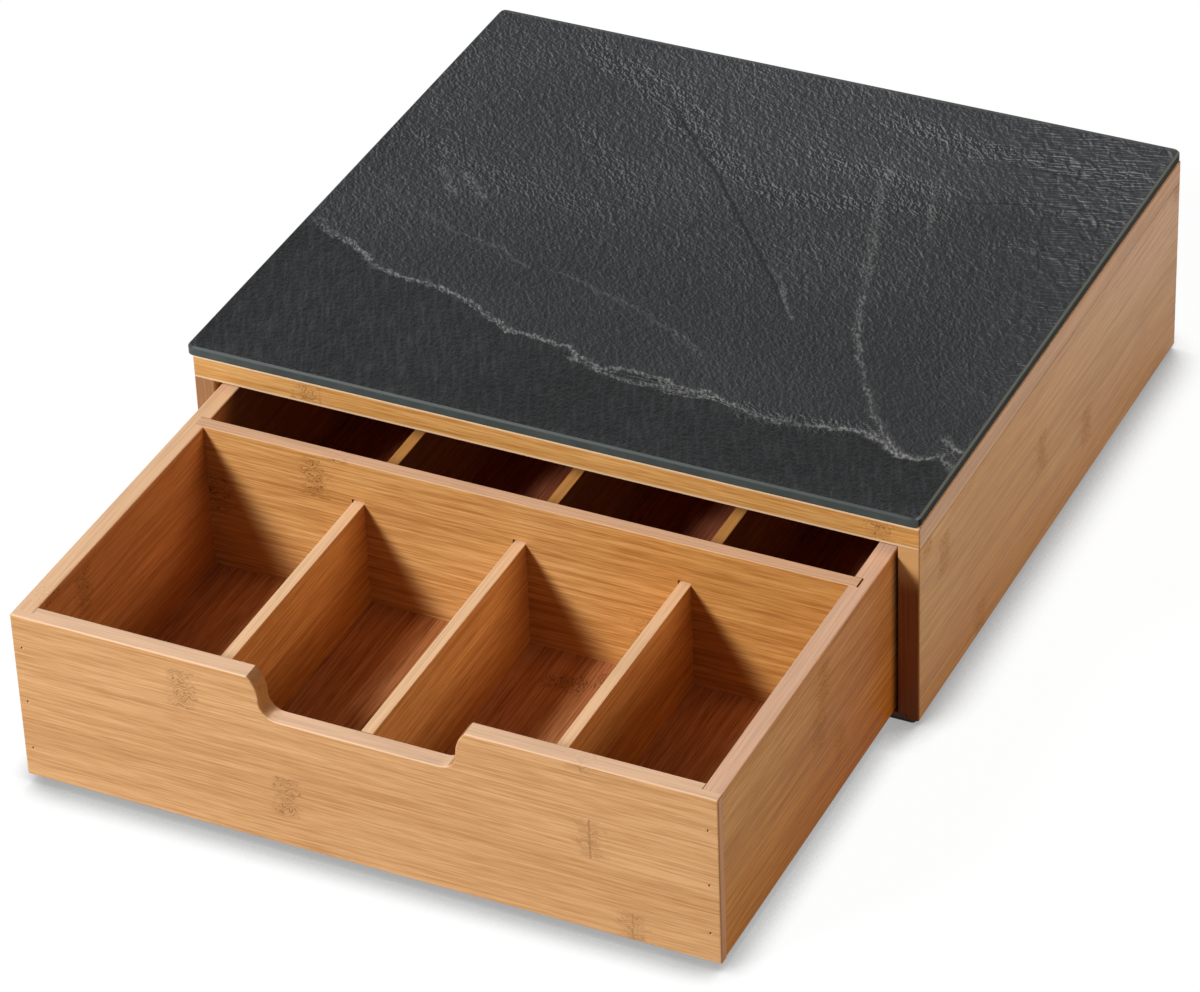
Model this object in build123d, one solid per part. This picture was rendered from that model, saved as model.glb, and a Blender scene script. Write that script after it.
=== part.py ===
from build123d import *
import os

# Coffee capsule drawer: a bamboo case with a glass top and a sliding drawer with two rows of compartments.
# Millimetres. The drawer's front faces -Y, +Z is up and the feet stand on z = 0.
# The origin is the middle of the footprint with the drawer at its pictured opening.

# Compartments of the drawer
columns = 4
compartment_width = 64.25
front_bay_length = 128.1
rear_bay_length = 123.4

# Drawer boards
drawer_height = 74.6
front_wall = 8.0
side_wall = 8.0
rear_wall = 8.0
cross_wall = 6.0
divider_wall = 5.0
divider_drop = 18.2

# Drawer joints
corner_lip = 4.0
floor_thickness = 4.0
floor_lift = 5.6
floor_housing = 4.0
floor_play = 0.5
cross_housing = 4.0
cross_end_gap = 0.8
divider_housing = 3.0
divider_slot_play = 0.5
divider_slot_rise = 1.0

# Grip notch in the drawer's front
notch_width = 80.0
notch_shoulder_radius = 15.0
notch_shoulder_height = 10.5
notch_fillet = 7.0
notch_straight = 0.5

# Case boards
case_side_wall = 9.0
case_back_wall = 8.0
top_thickness = 10.0
base_thickness = 2.0
base_housing = 4.0
base_play = 0.3

# Running gaps round the drawer
side_gap = 1.0
rim_gap = 3.0
slide_gap = 0.4
rear_gap = 0.5
drawer_opening = 162.0

# Glass top and what it lies on
glass_thickness = 4.0
glass_overhang = 1.0
glass_corner = 3.0
glass_bevel = 0.8
glass_offset = -1.2
pad_thickness = 0.8
pad_diameter = 10.0
pad_inset = 22.0

# Feet
foot_height = 2.2
foot_length = 14.0
foot_width = 12.0
foot_corner = 1.5
foot_inset = 0.5
foot_side_inset = 2.0

# Brads
brad_diameter = 1.2
brad_fit = 0.05
brad_sink = 0.6
corner_brad_length = 15.0
top_brad_length = 24.0
base_brad_length = 9.0
corner_brad_heights = (13.0, 35.0, 60.0)
brad_edge_distance = 20.0
brads_per_side = 3

# Eased board edges
board_ease = 0.8
thin_ease = 0.4

# Worked out across X
drawer_inner_width = columns * compartment_width + (columns - 1) * divider_wall
drawer_width = drawer_inner_width + 2 * side_wall
case_inner_width = drawer_width + 2 * side_gap
case_width = case_inner_width + 2 * case_side_wall
drawer_half = drawer_width / 2
drawer_inner_half = drawer_inner_width / 2
case_half = case_width / 2
case_inner_half = case_inner_width / 2

# Worked out along Y
drawer_depth = front_wall + front_bay_length + cross_wall + rear_bay_length + rear_wall
case_depth = drawer_depth + rear_gap + case_back_wall
case_front = -(case_depth - drawer_opening) / 2
case_back = case_front + case_depth
back_inner = case_back - case_back_wall
drawer_front = case_front - drawer_opening
drawer_back = drawer_front + drawer_depth
front_bay_start = drawer_front + front_wall
cross_front = front_bay_start + front_bay_length
cross_back = cross_front + cross_wall
rear_bay_end = drawer_back - rear_wall

# Worked out up Z
base_top = foot_height + base_thickness
drawer_bottom = base_top + slide_gap
drawer_rim = drawer_bottom + drawer_height
floor_bottom = drawer_bottom + floor_lift
floor_top = floor_bottom + floor_thickness
divider_top = drawer_rim - divider_drop
rail_bottom = drawer_rim + rim_gap
top_surface = rail_bottom + top_thickness
glass_bottom = top_surface + pad_thickness

# Worked out for the brads
brad_radius = brad_diameter / 2
brad_hole_radius = brad_radius + brad_fit
drawer_brad_x = drawer_half - side_wall / 2
case_brad_x = case_half - case_side_wall / 2
base_brad_x = case_inner_half + base_housing / 2


def block(x0, x1, y0, y1, z0, z1):
    """A board between two corners."""
    centre = Pos((x0 + x1) / 2, (y0 + y1) / 2, (z0 + z1) / 2)
    return centre * Box(x1 - x0, y1 - y0, z1 - z0)


def evenly(start, end, count):
    """Places from start to end, both included."""
    return [start + (end - start) * i / (count - 1) for i in range(count)]


def rod(x, y, z, radius, length, along):
    """A round rod centred on a point and lying along X, Y or Z."""
    turns = {"X": Rot(0, 90, 0), "Y": Rot(90, 0, 0), "Z": Rot(0, 0, 0)}
    return Pos(x, y, z) * turns[along] * Cylinder(radius, length)


def eased(board, axis, radius):
    """The board with its long edges along one axis rounded."""
    return fillet(board.edges().filter_by(axis), radius)


# Compartment grid

def divider_left_edges():
    """The left face of each short divider, from left to right."""
    first = -drawer_inner_half + compartment_width
    pitch = compartment_width + divider_wall
    return [first + i * pitch for i in range(columns - 1)]


def bays():
    """Front and back of each row of compartments."""
    return {
        "front": (front_bay_start, cross_front),
        "rear": (cross_back, rear_bay_end),
    }


def divider_span(row):
    """Front and back end of one row's short dividers, which only butt against the front board."""
    y0, y1 = bays()[row]
    front_housing = 0 if row == "front" else divider_housing
    return y0 - front_housing, y1 + divider_housing


# Cuts shared by the drawer's boards

def floor_groove():
    """The groove round the inside of the drawer that holds the floor panel."""
    x = drawer_inner_half + floor_housing
    y0 = front_bay_start - floor_housing
    y1 = rear_bay_end + floor_housing
    return block(-x, x, y0, y1, floor_bottom, floor_top)


def divider_slots(row):
    """Stopped slots for the short dividers of one row, a little wide and tall for them."""
    y0, y1 = divider_span(row)
    slots = []
    for x in divider_left_edges():
        left = x - divider_slot_play
        right = x + divider_wall
        top = divider_top + divider_slot_rise
        slots.append(block(left, right, y0, y1, floor_top, top))
    return slots


def corner_brad_rods(face, inward, radius, sink, length):
    """Rods along Y at the drawer's corners, from an outer face inwards."""
    near = face + inward * sink
    middle = near + inward * length / 2
    rods = []
    for x in (-drawer_brad_x, drawer_brad_x):
        for height in corner_brad_heights:
            rods.append(rod(x, middle, drawer_bottom + height, radius, length, "Y"))
    return rods


def corner_brad_holes():
    """Brad holes at all four corners, open at the outer faces."""
    length = corner_brad_length + brad_sink
    front = corner_brad_rods(drawer_front, 1, brad_hole_radius, 0, length)
    rear = corner_brad_rods(drawer_back, -1, brad_hole_radius, 0, length)
    return front + rear


# Drawer boards

def notch_cutter():
    """The grip notch: round shoulders at the rim, upright flanks and filleted bottom corners."""
    half = notch_width / 2
    shoulder_foot = drawer_rim - notch_shoulder_height
    bottom = shoulder_foot - notch_straight - notch_fillet
    above = drawer_rim + 1
    shoulder_run = notch_shoulder_radius
    shoulder_run -= (notch_shoulder_radius**2 - (above - shoulder_foot) ** 2) ** 0.5
    with BuildPart() as cutter:
        with BuildSketch(Plane.XZ.offset(-(drawer_front - 1))) as profile:
            with BuildLine():
                Line((0, bottom), (half - notch_fillet, bottom))
                RadiusArc(
                    (half - notch_fillet, bottom),
                    (half, bottom + notch_fillet),
                    -notch_fillet,
                )
                Line((half, bottom + notch_fillet), (half, shoulder_foot))
                RadiusArc(
                    (half, shoulder_foot),
                    (half + shoulder_run, above),
                    notch_shoulder_radius,
                )
                Line((half + shoulder_run, above), (0, above))
                Line((0, above), (0, bottom))
            make_face()
            mirror(about=Plane.YZ)
        extrude(amount=-(front_wall + 2))
    return cutter.part


def notched_outline(board):
    """The rim's and the notch's edges on the board's front and back faces."""
    on_faces = board.edges().filter_by(lambda edge: edge.bounding_box().size.Y < 0.01)
    above_base = on_faces.filter_by(lambda edge: edge.center().Z > drawer_bottom + board_ease)
    return above_base.filter_by(lambda edge: abs(edge.center().X) < drawer_inner_half)


def drawer_front_board():
    """The front: notched, eased and rabbeted over the side boards."""
    board = block(-drawer_half, drawer_half, drawer_front, front_bay_start, drawer_bottom, drawer_rim)
    board = eased(board, Axis.Z, board_ease)
    board -= notch_cutter()
    board = fillet(notched_outline(board), board_ease)
    for side in (-1, 1):
        inner = side * drawer_inner_half
        outer = side * (drawer_half + 1)
        x0, x1 = min(inner, outer), max(inner, outer)
        lip = drawer_front + corner_lip
        board -= block(x0, x1, lip, front_bay_start + 1, drawer_bottom - 1, drawer_rim + 1)
    board -= floor_groove()
    for hole in corner_brad_holes():
        board -= hole
    return board


def drawer_back_board():
    """The back: rabbeted like the front board and slotted for the dividers."""
    board = block(-drawer_half, drawer_half, rear_bay_end, drawer_back, drawer_bottom, drawer_rim)
    board = eased(board, Axis.Z, board_ease)
    rim_edges = board.edges().filter_by_position(Axis.Z, drawer_rim, drawer_rim)
    board = fillet(rim_edges.filter_by(Axis.X), board_ease)
    for side in (-1, 1):
        inner = side * drawer_inner_half
        outer = side * (drawer_half + 1)
        x0, x1 = min(inner, outer), max(inner, outer)
        lip = drawer_back - corner_lip
        board -= block(x0, x1, rear_bay_end - 1, lip, drawer_bottom - 1, drawer_rim + 1)
    board -= floor_groove()
    for slot in divider_slots("rear"):
        board -= slot
    for hole in corner_brad_holes():
        board -= hole
    return board


def drawer_side(side):
    """A side board between the corner lips, housed for the cross divider and the floor."""
    inner = side * drawer_inner_half
    outer = side * drawer_half
    y0 = drawer_front + corner_lip
    y1 = drawer_back - corner_lip
    board = block(min(inner, outer), max(inner, outer), y0, y1, drawer_bottom, drawer_rim)
    board = eased(board, Axis.Y, board_ease)
    board -= floor_groove()
    housing = drawer_inner_half + cross_housing
    board -= block(-housing, housing, cross_front, cross_back, floor_top, drawer_rim + 1)
    for hole in corner_brad_holes():
        board -= hole
    return board


def drawer_floor_panel():
    """The floor, a little short of its grooves' ends."""
    x = drawer_inner_half + floor_housing - floor_play
    y0 = front_bay_start - floor_housing + floor_play
    y1 = rear_bay_end + floor_housing - floor_play
    return block(-x, x, y0, y1, floor_bottom, floor_top)


def cross_divider():
    """The full-height board between the two rows, seated in the left side and just short of the right."""
    left = -drawer_inner_half - cross_housing
    right = drawer_inner_half + cross_housing - cross_end_gap
    board = block(left, right, cross_front, cross_back, floor_top, drawer_rim)
    rim_edges = board.edges().filter_by_position(Axis.Z, drawer_rim, drawer_rim)
    board = fillet(rim_edges.filter_by(Axis.X), thin_ease)
    for row in bays():
        for slot in divider_slots(row):
            board -= slot
    return board


def short_divider(row, index):
    """A thin divider standing on the floor, its housed ends in the slots."""
    y0, y1 = divider_span(row)
    left = divider_left_edges()[index]
    right = left + divider_wall
    board = block(left, right, y0, y1, floor_top, divider_top)
    rim_edges = board.edges().filter_by_position(Axis.Z, divider_top, divider_top)
    return fillet(rim_edges.filter_by(Axis.Y), thin_ease)


def corner_brads(face, inward):
    """Brads sunk through a corner lip into the side boards."""
    return Compound(corner_brad_rods(face, inward, brad_radius, brad_sink, corner_brad_length))


# Case boards

def base_seat():
    """The room for the bottom panel, open at the front and let into the boards' lower edges."""
    x = case_inner_half + base_housing
    return block(-x, x, case_front - 1, back_inner + base_housing, foot_height, base_top)


def side_brad_places():
    """Brad positions along the case's side boards."""
    return evenly(case_front + brad_edge_distance, back_inner - brad_edge_distance, brads_per_side)


def back_brad_places():
    """Brad positions along the case's back board."""
    reach = case_inner_half - brad_edge_distance
    return evenly(-reach, reach, brads_per_side)


def top_brad_rods(radius, sink, length):
    """Upright rods from the top board's surface down into the side and back boards."""
    z = top_surface - sink - length / 2
    rods = [rod(x, y, z, radius, length, "Z") for x in (-case_brad_x, case_brad_x) for y in side_brad_places()]
    y = case_back - case_back_wall / 2
    rods += [rod(x, y, z, radius, length, "Z") for x in back_brad_places()]
    return rods


def base_brad_rods(radius, sink, length):
    """Upright rods from the bottom panel's underside up into the side and back boards."""
    z = foot_height + sink + length / 2
    rods = [rod(x, y, z, radius, length, "Z") for x in (-base_brad_x, base_brad_x) for y in side_brad_places()]
    y = back_inner + base_housing / 2
    rods += [rod(x, y, z, radius, length, "Z") for x in back_brad_places()]
    return rods


def case_brad_holes():
    """All brad holes of the case, open at the outer faces."""
    top = top_brad_rods(brad_hole_radius, 0, top_brad_length + brad_sink)
    base = base_brad_rods(brad_hole_radius, 0, base_brad_length + brad_sink)
    return top + base


def drilled(board):
    """A case board with its brad holes."""
    for hole in case_brad_holes():
        board -= hole
    return board


def top_board():
    """The board over the sides, whose front edge is the rail above the drawer."""
    board = block(-case_half, case_half, case_front, case_back, rail_bottom, top_surface)
    board = eased(board, Axis.Z, board_ease)
    top_edges = board.faces().sort_by(Axis.Z)[-1].edges()
    front_edge = board.faces().sort_by(Axis.Y)[0].edges().filter_by(Axis.X).sort_by(Axis.Z)[0]
    board = fillet(list(top_edges) + [front_edge], thin_ease)
    return drilled(board)


def case_side(side):
    """A side board from the feet to the top board, rabbeted below for the bottom panel."""
    inner = side * case_inner_half
    outer = side * case_half
    x0, x1 = min(inner, outer), max(inner, outer)
    board = block(x0, x1, case_front, case_back, foot_height, rail_bottom)
    outer_face = board.faces().sort_by(Axis.X)[0 if side < 0 else -1]
    front_edges = board.faces().sort_by(Axis.Y)[0].edges().filter_by(Axis.Z)
    rear_edge = outer_face.edges().filter_by(Axis.Z).sort_by(Axis.Y)[-1]
    lower_edge = outer_face.edges().filter_by(Axis.Y).sort_by(Axis.Z)[0]
    board = fillet(list(front_edges) + [rear_edge, lower_edge], board_ease)
    board -= base_seat()
    return drilled(board)


def back_board():
    """The back, between the side boards and under the top board."""
    board = block(-case_inner_half, case_inner_half, back_inner, case_back, foot_height, rail_bottom)
    board -= base_seat()
    return drilled(board)


def bottom_panel():
    """The thin panel that the drawer slides on."""
    x = case_inner_half + base_housing - base_play
    y1 = back_inner + base_housing - base_play
    board = block(-x, x, case_front, y1, foot_height, base_top)
    return drilled(board)


def rubber_feet():
    """Four corner pads under the side boards and the bottom panel."""
    x = case_half - foot_side_inset - foot_length / 2
    y0 = case_front + foot_inset + foot_width / 2
    y1 = case_back - foot_inset - foot_width / 2
    feet = []
    for place in [(px, py) for px in (-x, x) for py in (y0, y1)]:
        outline = RectangleRounded(foot_length, foot_width, foot_corner)
        feet.append(Pos(place[0], place[1], 0) * extrude(outline, foot_height))
    return Compound(feet)


def glass_top_plate():
    """The glass plate, a hair larger than the case and set slightly to its left."""
    width = case_width + 2 * glass_overhang
    depth = case_depth + 2 * glass_overhang
    plate = extrude(RectangleRounded(width, depth, glass_corner), glass_thickness)
    plate = chamfer(plate.faces().sort_by(Axis.Z)[-1].edges(), glass_bevel)
    return Pos(glass_offset, (case_front + case_back) / 2, glass_bottom) * plate


def glass_pads():
    """Clear round pads that hold the glass: four near the corners and two between."""
    x = case_half - pad_inset
    y0 = case_front + pad_inset
    y1 = case_back - pad_inset
    z = top_surface + pad_thickness / 2
    places = [(px, py) for px in (-x, 0, x) for py in (y0, y1)]
    return Compound([rod(px, py, z, pad_diameter / 2, pad_thickness, "Z") for px, py in places])


def build_parts():
    """Every piece of the case and of the drawer, by name."""
    parts = {
        "glass_top_plate": glass_top_plate(),
        "glass_pads": glass_pads(),
        "top_board": top_board(),
        "left_side_board": case_side(-1),
        "right_side_board": case_side(1),
        "back_board": back_board(),
        "bottom_panel": bottom_panel(),
        "rubber_feet": rubber_feet(),
        "top_brads": Compound(top_brad_rods(brad_radius, brad_sink, top_brad_length)),
        "bottom_brads": Compound(base_brad_rods(brad_radius, brad_sink, base_brad_length)),
        "drawer_front_board": drawer_front_board(),
        "drawer_left_side": drawer_side(-1),
        "drawer_right_side": drawer_side(1),
        "drawer_back_board": drawer_back_board(),
        "drawer_floor_panel": drawer_floor_panel(),
        "cross_divider": cross_divider(),
        "front_corner_brads": corner_brads(drawer_front, 1),
        "rear_corner_brads": corner_brads(drawer_back, -1),
    }
    for row in bays():
        for index in range(columns - 1):
            parts[f"{row}_divider_{index + 1}"] = short_divider(row, index)
    return parts


os.makedirs("parts", exist_ok=True)
for name, solid in build_parts().items():
    export_step(solid, f"parts/{name}.step")
print("closed stop", -drawer_opening, "case", case_width, case_depth, "height", glass_bottom + glass_thickness)
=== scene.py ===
"""A bamboo box with a slate-look glass top and a sliding drawer for coffee capsules.

Everything is in metres in the part's own frame: the drawer's front faces -Y, +Z is up and the
feet stand on z = 0. The boards keep their solids and get bamboo finishes, the glass plate and the
feet are built here in more detail, and a plain studio with one camera shows the result.
"""
import logging
import math
from dataclasses import dataclass
from enum import Enum

import bpy
import numpy as np
from mathutils import Matrix, Vector


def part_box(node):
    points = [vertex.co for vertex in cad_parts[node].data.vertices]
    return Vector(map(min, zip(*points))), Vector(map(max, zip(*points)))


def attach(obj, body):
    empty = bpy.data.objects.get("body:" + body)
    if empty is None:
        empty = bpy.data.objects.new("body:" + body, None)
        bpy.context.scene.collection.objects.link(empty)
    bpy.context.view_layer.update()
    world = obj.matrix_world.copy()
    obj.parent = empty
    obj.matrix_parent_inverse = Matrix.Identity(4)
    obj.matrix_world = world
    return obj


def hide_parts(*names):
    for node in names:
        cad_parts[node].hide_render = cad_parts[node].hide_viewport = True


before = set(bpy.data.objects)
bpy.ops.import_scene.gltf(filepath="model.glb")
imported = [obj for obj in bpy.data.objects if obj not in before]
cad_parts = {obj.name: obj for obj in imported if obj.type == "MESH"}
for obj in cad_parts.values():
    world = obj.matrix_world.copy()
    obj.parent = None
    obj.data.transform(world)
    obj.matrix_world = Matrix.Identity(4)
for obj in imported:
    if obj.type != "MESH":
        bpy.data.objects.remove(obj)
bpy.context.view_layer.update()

log = logging.getLogger("capsule_drawer")

Colour = tuple[float, float, float]
Point = tuple[float, float]
Span = tuple[float, float]
Feed = bpy.types.NodeSocket | float | tuple | bpy.types.Material | None


class Axis(Enum):
    """The three directions of the part's frame."""

    X = 0
    Y = 1
    Z = 2


class Graph:
    """Adds and joins the nodes of one shader or geometry tree."""

    def __init__(self, tree: bpy.types.NodeTree) -> None:
        """Keeps the tree that the nodes go into."""
        self.tree = tree

    @classmethod
    def of_material(cls, name: str) -> tuple["Graph", bpy.types.Material]:
        """Starts an empty material.

        Args:
            name: The material's name.

        Returns:
            The graph of its tree, and the material.
        """
        material = bpy.data.materials.new(name)
        material.use_nodes = True
        material.node_tree.nodes.clear()
        return cls(material.node_tree), material

    def node(self, kind: str, **settings: object) -> bpy.types.Node:
        """Adds a node.

        Args:
            kind: The node's type name.
            **settings: The node's own properties.

        Returns:
            The new node.
        """
        node = self.tree.nodes.new(kind)
        for name, value in settings.items():
            setattr(node, name, value)
        return node

    def feed(self, socket: bpy.types.NodeSocket, value: Feed) -> None:
        """Joins an input to another node's output, or sets its plain value.

        Args:
            socket: The input.
            value: An output to join, a value to set, or None to leave the input alone.
        """
        if isinstance(value, bpy.types.NodeSocket):
            self.tree.links.new(value, socket)
        elif value is not None:
            socket.default_value = value

    def call(self, kind: str, inputs: dict[str, Feed], **settings: object) -> bpy.types.Node:
        """Adds a node and feeds its inputs by name.

        Args:
            kind: The node's type name.
            inputs: What each named input gets.
            **settings: The node's own properties.

        Returns:
            The new node.
        """
        node = self.node(kind, **settings)
        for name, value in inputs.items():
            self.feed(node.inputs[name], value)
        return node

    def math(self, operation: str, *values: Feed, clamp: bool = False) -> bpy.types.NodeSocket:
        """Adds a Math node.

        Args:
            operation: The operation's name.
            *values: What its inputs get, in order.
            clamp: Whether the result stays within 0 and 1.

        Returns:
            The result.
        """
        node = self.node("ShaderNodeMath", operation=operation, use_clamp=clamp)
        for socket, value in zip(node.inputs, values):
            self.feed(socket, value)
        return node.outputs[0]

    def vector(self, operation: str, *values: Feed) -> bpy.types.NodeSocket:
        """Adds a Vector Math node.

        Args:
            operation: The operation's name.
            *values: What its inputs get, in order.

        Returns:
            The vector that it gives.
        """
        node = self.node("ShaderNodeVectorMath", operation=operation)
        for socket, value in zip(node.inputs, values):
            self.feed(socket, value)
        return node.outputs["Vector"]

    def split(self, vector: Feed) -> list[bpy.types.NodeSocket]:
        """Takes a vector apart into its X, Y and Z."""
        return list(self.call("ShaderNodeSeparateXYZ", {"Vector": vector}).outputs)

    def join(self, x: Feed, y: Feed, z: Feed) -> bpy.types.NodeSocket:
        """Puts a vector together from its X, Y and Z."""
        return self.call("ShaderNodeCombineXYZ", {"X": x, "Y": y, "Z": z}).outputs[0]

    def fade(self, value: Feed, low: float, high: float) -> bpy.types.NodeSocket:
        """Turns a value smoothly into 0 to 1.

        Args:
            value: The value.
            low: Where the result is 0.
            high: Where the result is 1, which may lie below low.

        Returns:
            The smooth step.
        """
        node = self.node("ShaderNodeMapRange", interpolation_type="SMOOTHSTEP")
        flip = low > high
        ends = (high, low, 1.0, 0.0) if flip else (low, high, 0.0, 1.0)
        for name, number in zip(("From Min", "From Max", "To Min", "To Max"), ends):
            node.inputs[name].default_value = number
        self.feed(node.inputs["Value"], value)
        return node.outputs["Result"]

    def fade_size(self, value: Feed, low: float, high: float) -> bpy.types.NodeSocket:
        """Turns the size of a value, whatever its sign, smoothly into 0 to 1."""
        return self.fade(self.math("ABSOLUTE", value), low, high)

    def product(self, first: Feed, *others: Feed) -> bpy.types.NodeSocket:
        """Multiplies values.

        Args:
            first: The first value.
            *others: The other values, in order.

        Returns:
            The product.
        """
        result = first
        for value in others:
            result = self.math("MULTIPLY", result, value)
        return result

    def noise(self, vector: Feed, scale: float = 1.0, detail: float = 2.0, roughness: float = 0.5,
              distortion: float = 0.0) -> bpy.types.NodeSocket:
        """Adds a Noise Texture.

        Args:
            vector: Where it is read.
            scale: Its scale per unit of the vector.
            detail: Its octaves.
            roughness: How strong the finer octaves are.
            distortion: How far it is stirred.

        Returns:
            A value about 0.5.
        """
        inputs = {"Vector": vector, "Scale": scale, "Detail": detail, "Roughness": roughness,
                  "Distortion": distortion}
        return self.call("ShaderNodeTexNoise", inputs).outputs[0]

    def mix(self, factor: Feed, first: Feed, second: Feed, blend: str = "MIX") -> bpy.types.NodeSocket:
        """Mixes two colours.

        Args:
            factor: The share of the second.
            first: The first colour.
            second: The second colour.
            blend: The way they are mixed.

        Returns:
            The mixed colour.
        """
        node = self.node("ShaderNodeMix", data_type="RGBA", blend_type=blend)
        colour_inputs = [socket for socket in node.inputs if socket.type == "RGBA"]
        self.feed(node.inputs[0], factor)
        for socket, colour in zip(colour_inputs, (first, second)):
            self.feed(socket, (*colour, 1.0) if isinstance(colour, tuple) else colour)
        return [socket for socket in node.outputs if socket.type == "RGBA"][0]

    def tinted(self, share: Feed, colour: Feed, tint: Colour) -> bpy.types.NodeSocket:
        """Multiplies a colour by a tint where a share, from 0 to 1, says so."""
        return self.mix(share, colour, self.mix(1.0, colour, tint, "MULTIPLY"))

    def ramp(self, value: Feed, stops: list[tuple[float, Colour]]) -> bpy.types.NodeSocket:
        """Looks a value up in a colour ramp.

        Args:
            value: The value.
            stops: The places and colours of the ramp, from low to high.

        Returns:
            The colour.
        """
        node = self.call("ShaderNodeValToRGB", {"Fac": value})
        elements = node.color_ramp.elements
        while len(elements) < len(stops):
            elements.new(1.0)
        for element, (place, colour) in zip(elements, stops):
            element.position = place
            element.color = (*colour, 1.0)
        return node.outputs["Color"]

    def weighted(self, *terms: tuple[float, Feed]) -> bpy.types.NodeSocket:
        """Adds values up, each with its weight.

        Args:
            *terms: Weight and value pairs.

        Returns:
            The sum.
        """
        total = self.math("MULTIPLY", terms[0][1], terms[0][0])
        for weight, value in terms[1:]:
            total = self.math("MULTIPLY_ADD", value, weight, total)
        return total

    def surface(self, inputs: dict[str, Feed]) -> None:
        """Ends a material in a Principled BSDF.

        Args:
            inputs: What the shader's named inputs get.
        """
        shader = self.call("ShaderNodeBsdfPrincipled", inputs)
        output = self.node("ShaderNodeOutputMaterial")
        self.feed(output.inputs["Surface"], shader.outputs[0])


def scaled(colour: Colour, share: float) -> Colour:
    """Makes a colour darker or paler by one share."""
    return tuple(share * channel for channel in colour)


@dataclass(frozen=True)
class BambooTone:
    """The colours of one kind of bamboo strip.

    Attributes:
        light: Fibres that catch the light.
        middle: The main colour.
        dark: The darker fibres.
        knuckle: The brown of the growth knuckles.
        sawn_sheen: The sanded narrow edges of a board, paler than the faces, mostly as painted sheen.
        end: The end grain.
    """

    light: Colour = (0.71, 0.395, 0.175)
    middle: Colour = (0.61, 0.32, 0.13)
    dark: Colour = (0.50, 0.24, 0.085)
    knuckle: Colour = (0.29, 0.13, 0.045)
    # The pale edge colour is mostly painted sheen: it stands in for the lacquer's gleam on the narrow edges.
    sawn_sheen: Colour = (0.86, 0.57, 0.37)
    end: Colour = (0.40, 0.19, 0.08)


@dataclass(frozen=True)
class Knuckle:
    """A growth knuckle that crosses one strip of a board.

    Attributes:
        strip: The strip's number.
        place: Where it is along the grain.
        line: 0 for a patch of curls, 1 for a thin straight line, or something between.
    """

    strip: int
    place: float
    line: float = 0.0


@dataclass(frozen=True)
class Fibres:
    """One layer of streaks that are long in the direction of the grain.

    Attributes:
        length: How many streaks follow each other in a metre.
        width: How many lie side by side in a metre.
        detail: The octaves of their noise.
        weight: Their share in the strips' light and dark.
    """

    length: float
    width: float
    detail: float
    weight: float


@dataclass(frozen=True)
class BoardPlace:
    """Where a point lies on a board, as outputs in the material's tree.

    Attributes:
        point: The place itself.
        facing: Which way its face looks, as X, Y and Z.
        along: The place along the grain.
        across: The place across the strips.
        through: The place through the board.
        strip: The strip's number.
        within: The place across the strip, from -0.5 to 0.5.
        chances: Three random numbers of the strip's own.
        swirl: The noise about 0 that knuckles and curls follow.
    """

    point: Feed
    facing: list[bpy.types.NodeSocket]
    along: Feed
    across: Feed
    through: Feed
    strip: Feed
    within: Feed
    chances: list[bpy.types.NodeSocket]
    swirl: Feed


# The layers of fibres, from the broad bands to the short dashes.
BROAD = Fibres(3.0, 60.0, 1.0, 0.12)
MIDDLE = Fibres(7.0, 380.0, 2.0, 0.22)
FINE = Fibres(26.0, 1050.0, 2.0, 0.36)
DASHES = Fibres(75.0, 1900.0, 1.0, 0.30)

# Where each smooth step is 0 and where it is 1, on how squarely a face looks down an axis.
SAWN_FACE = (0.55, 0.95)
END_FACE = (0.55, 0.90)
REVERSE_FACE = (-0.50, -0.90)
HIGHLIGHT_CORNER = (0.94, 0.80)
HIGHLIGHT_END = (0.35, 0.60)

# The same across a strip, of which one half is 0.5, and along the grain, in metres.
GLUE_LINE = (0.488, 0.500)
KNUCKLE_SIDES = (0.50, 0.44)
KNUCKLE_PATCH = (0.0080, 0.0015)
KNUCKLE_LINE = (0.0006, 0.0001)

# How far a painted highlight along an edge reaches in from the lower and the upper level given, in metres.
ARRIS_HIGHLIGHT_UP = (0.0015, 0.0008)
ARRIS_HIGHLIGHT_DOWN = (-0.0011, -0.0005)

# How much the strips differ in red, green and blue, and what the darkest keeps of each.
STRIP_SHADES = ((0.09, 0.925), (0.14, 0.885), (0.22, 0.820))


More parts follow.
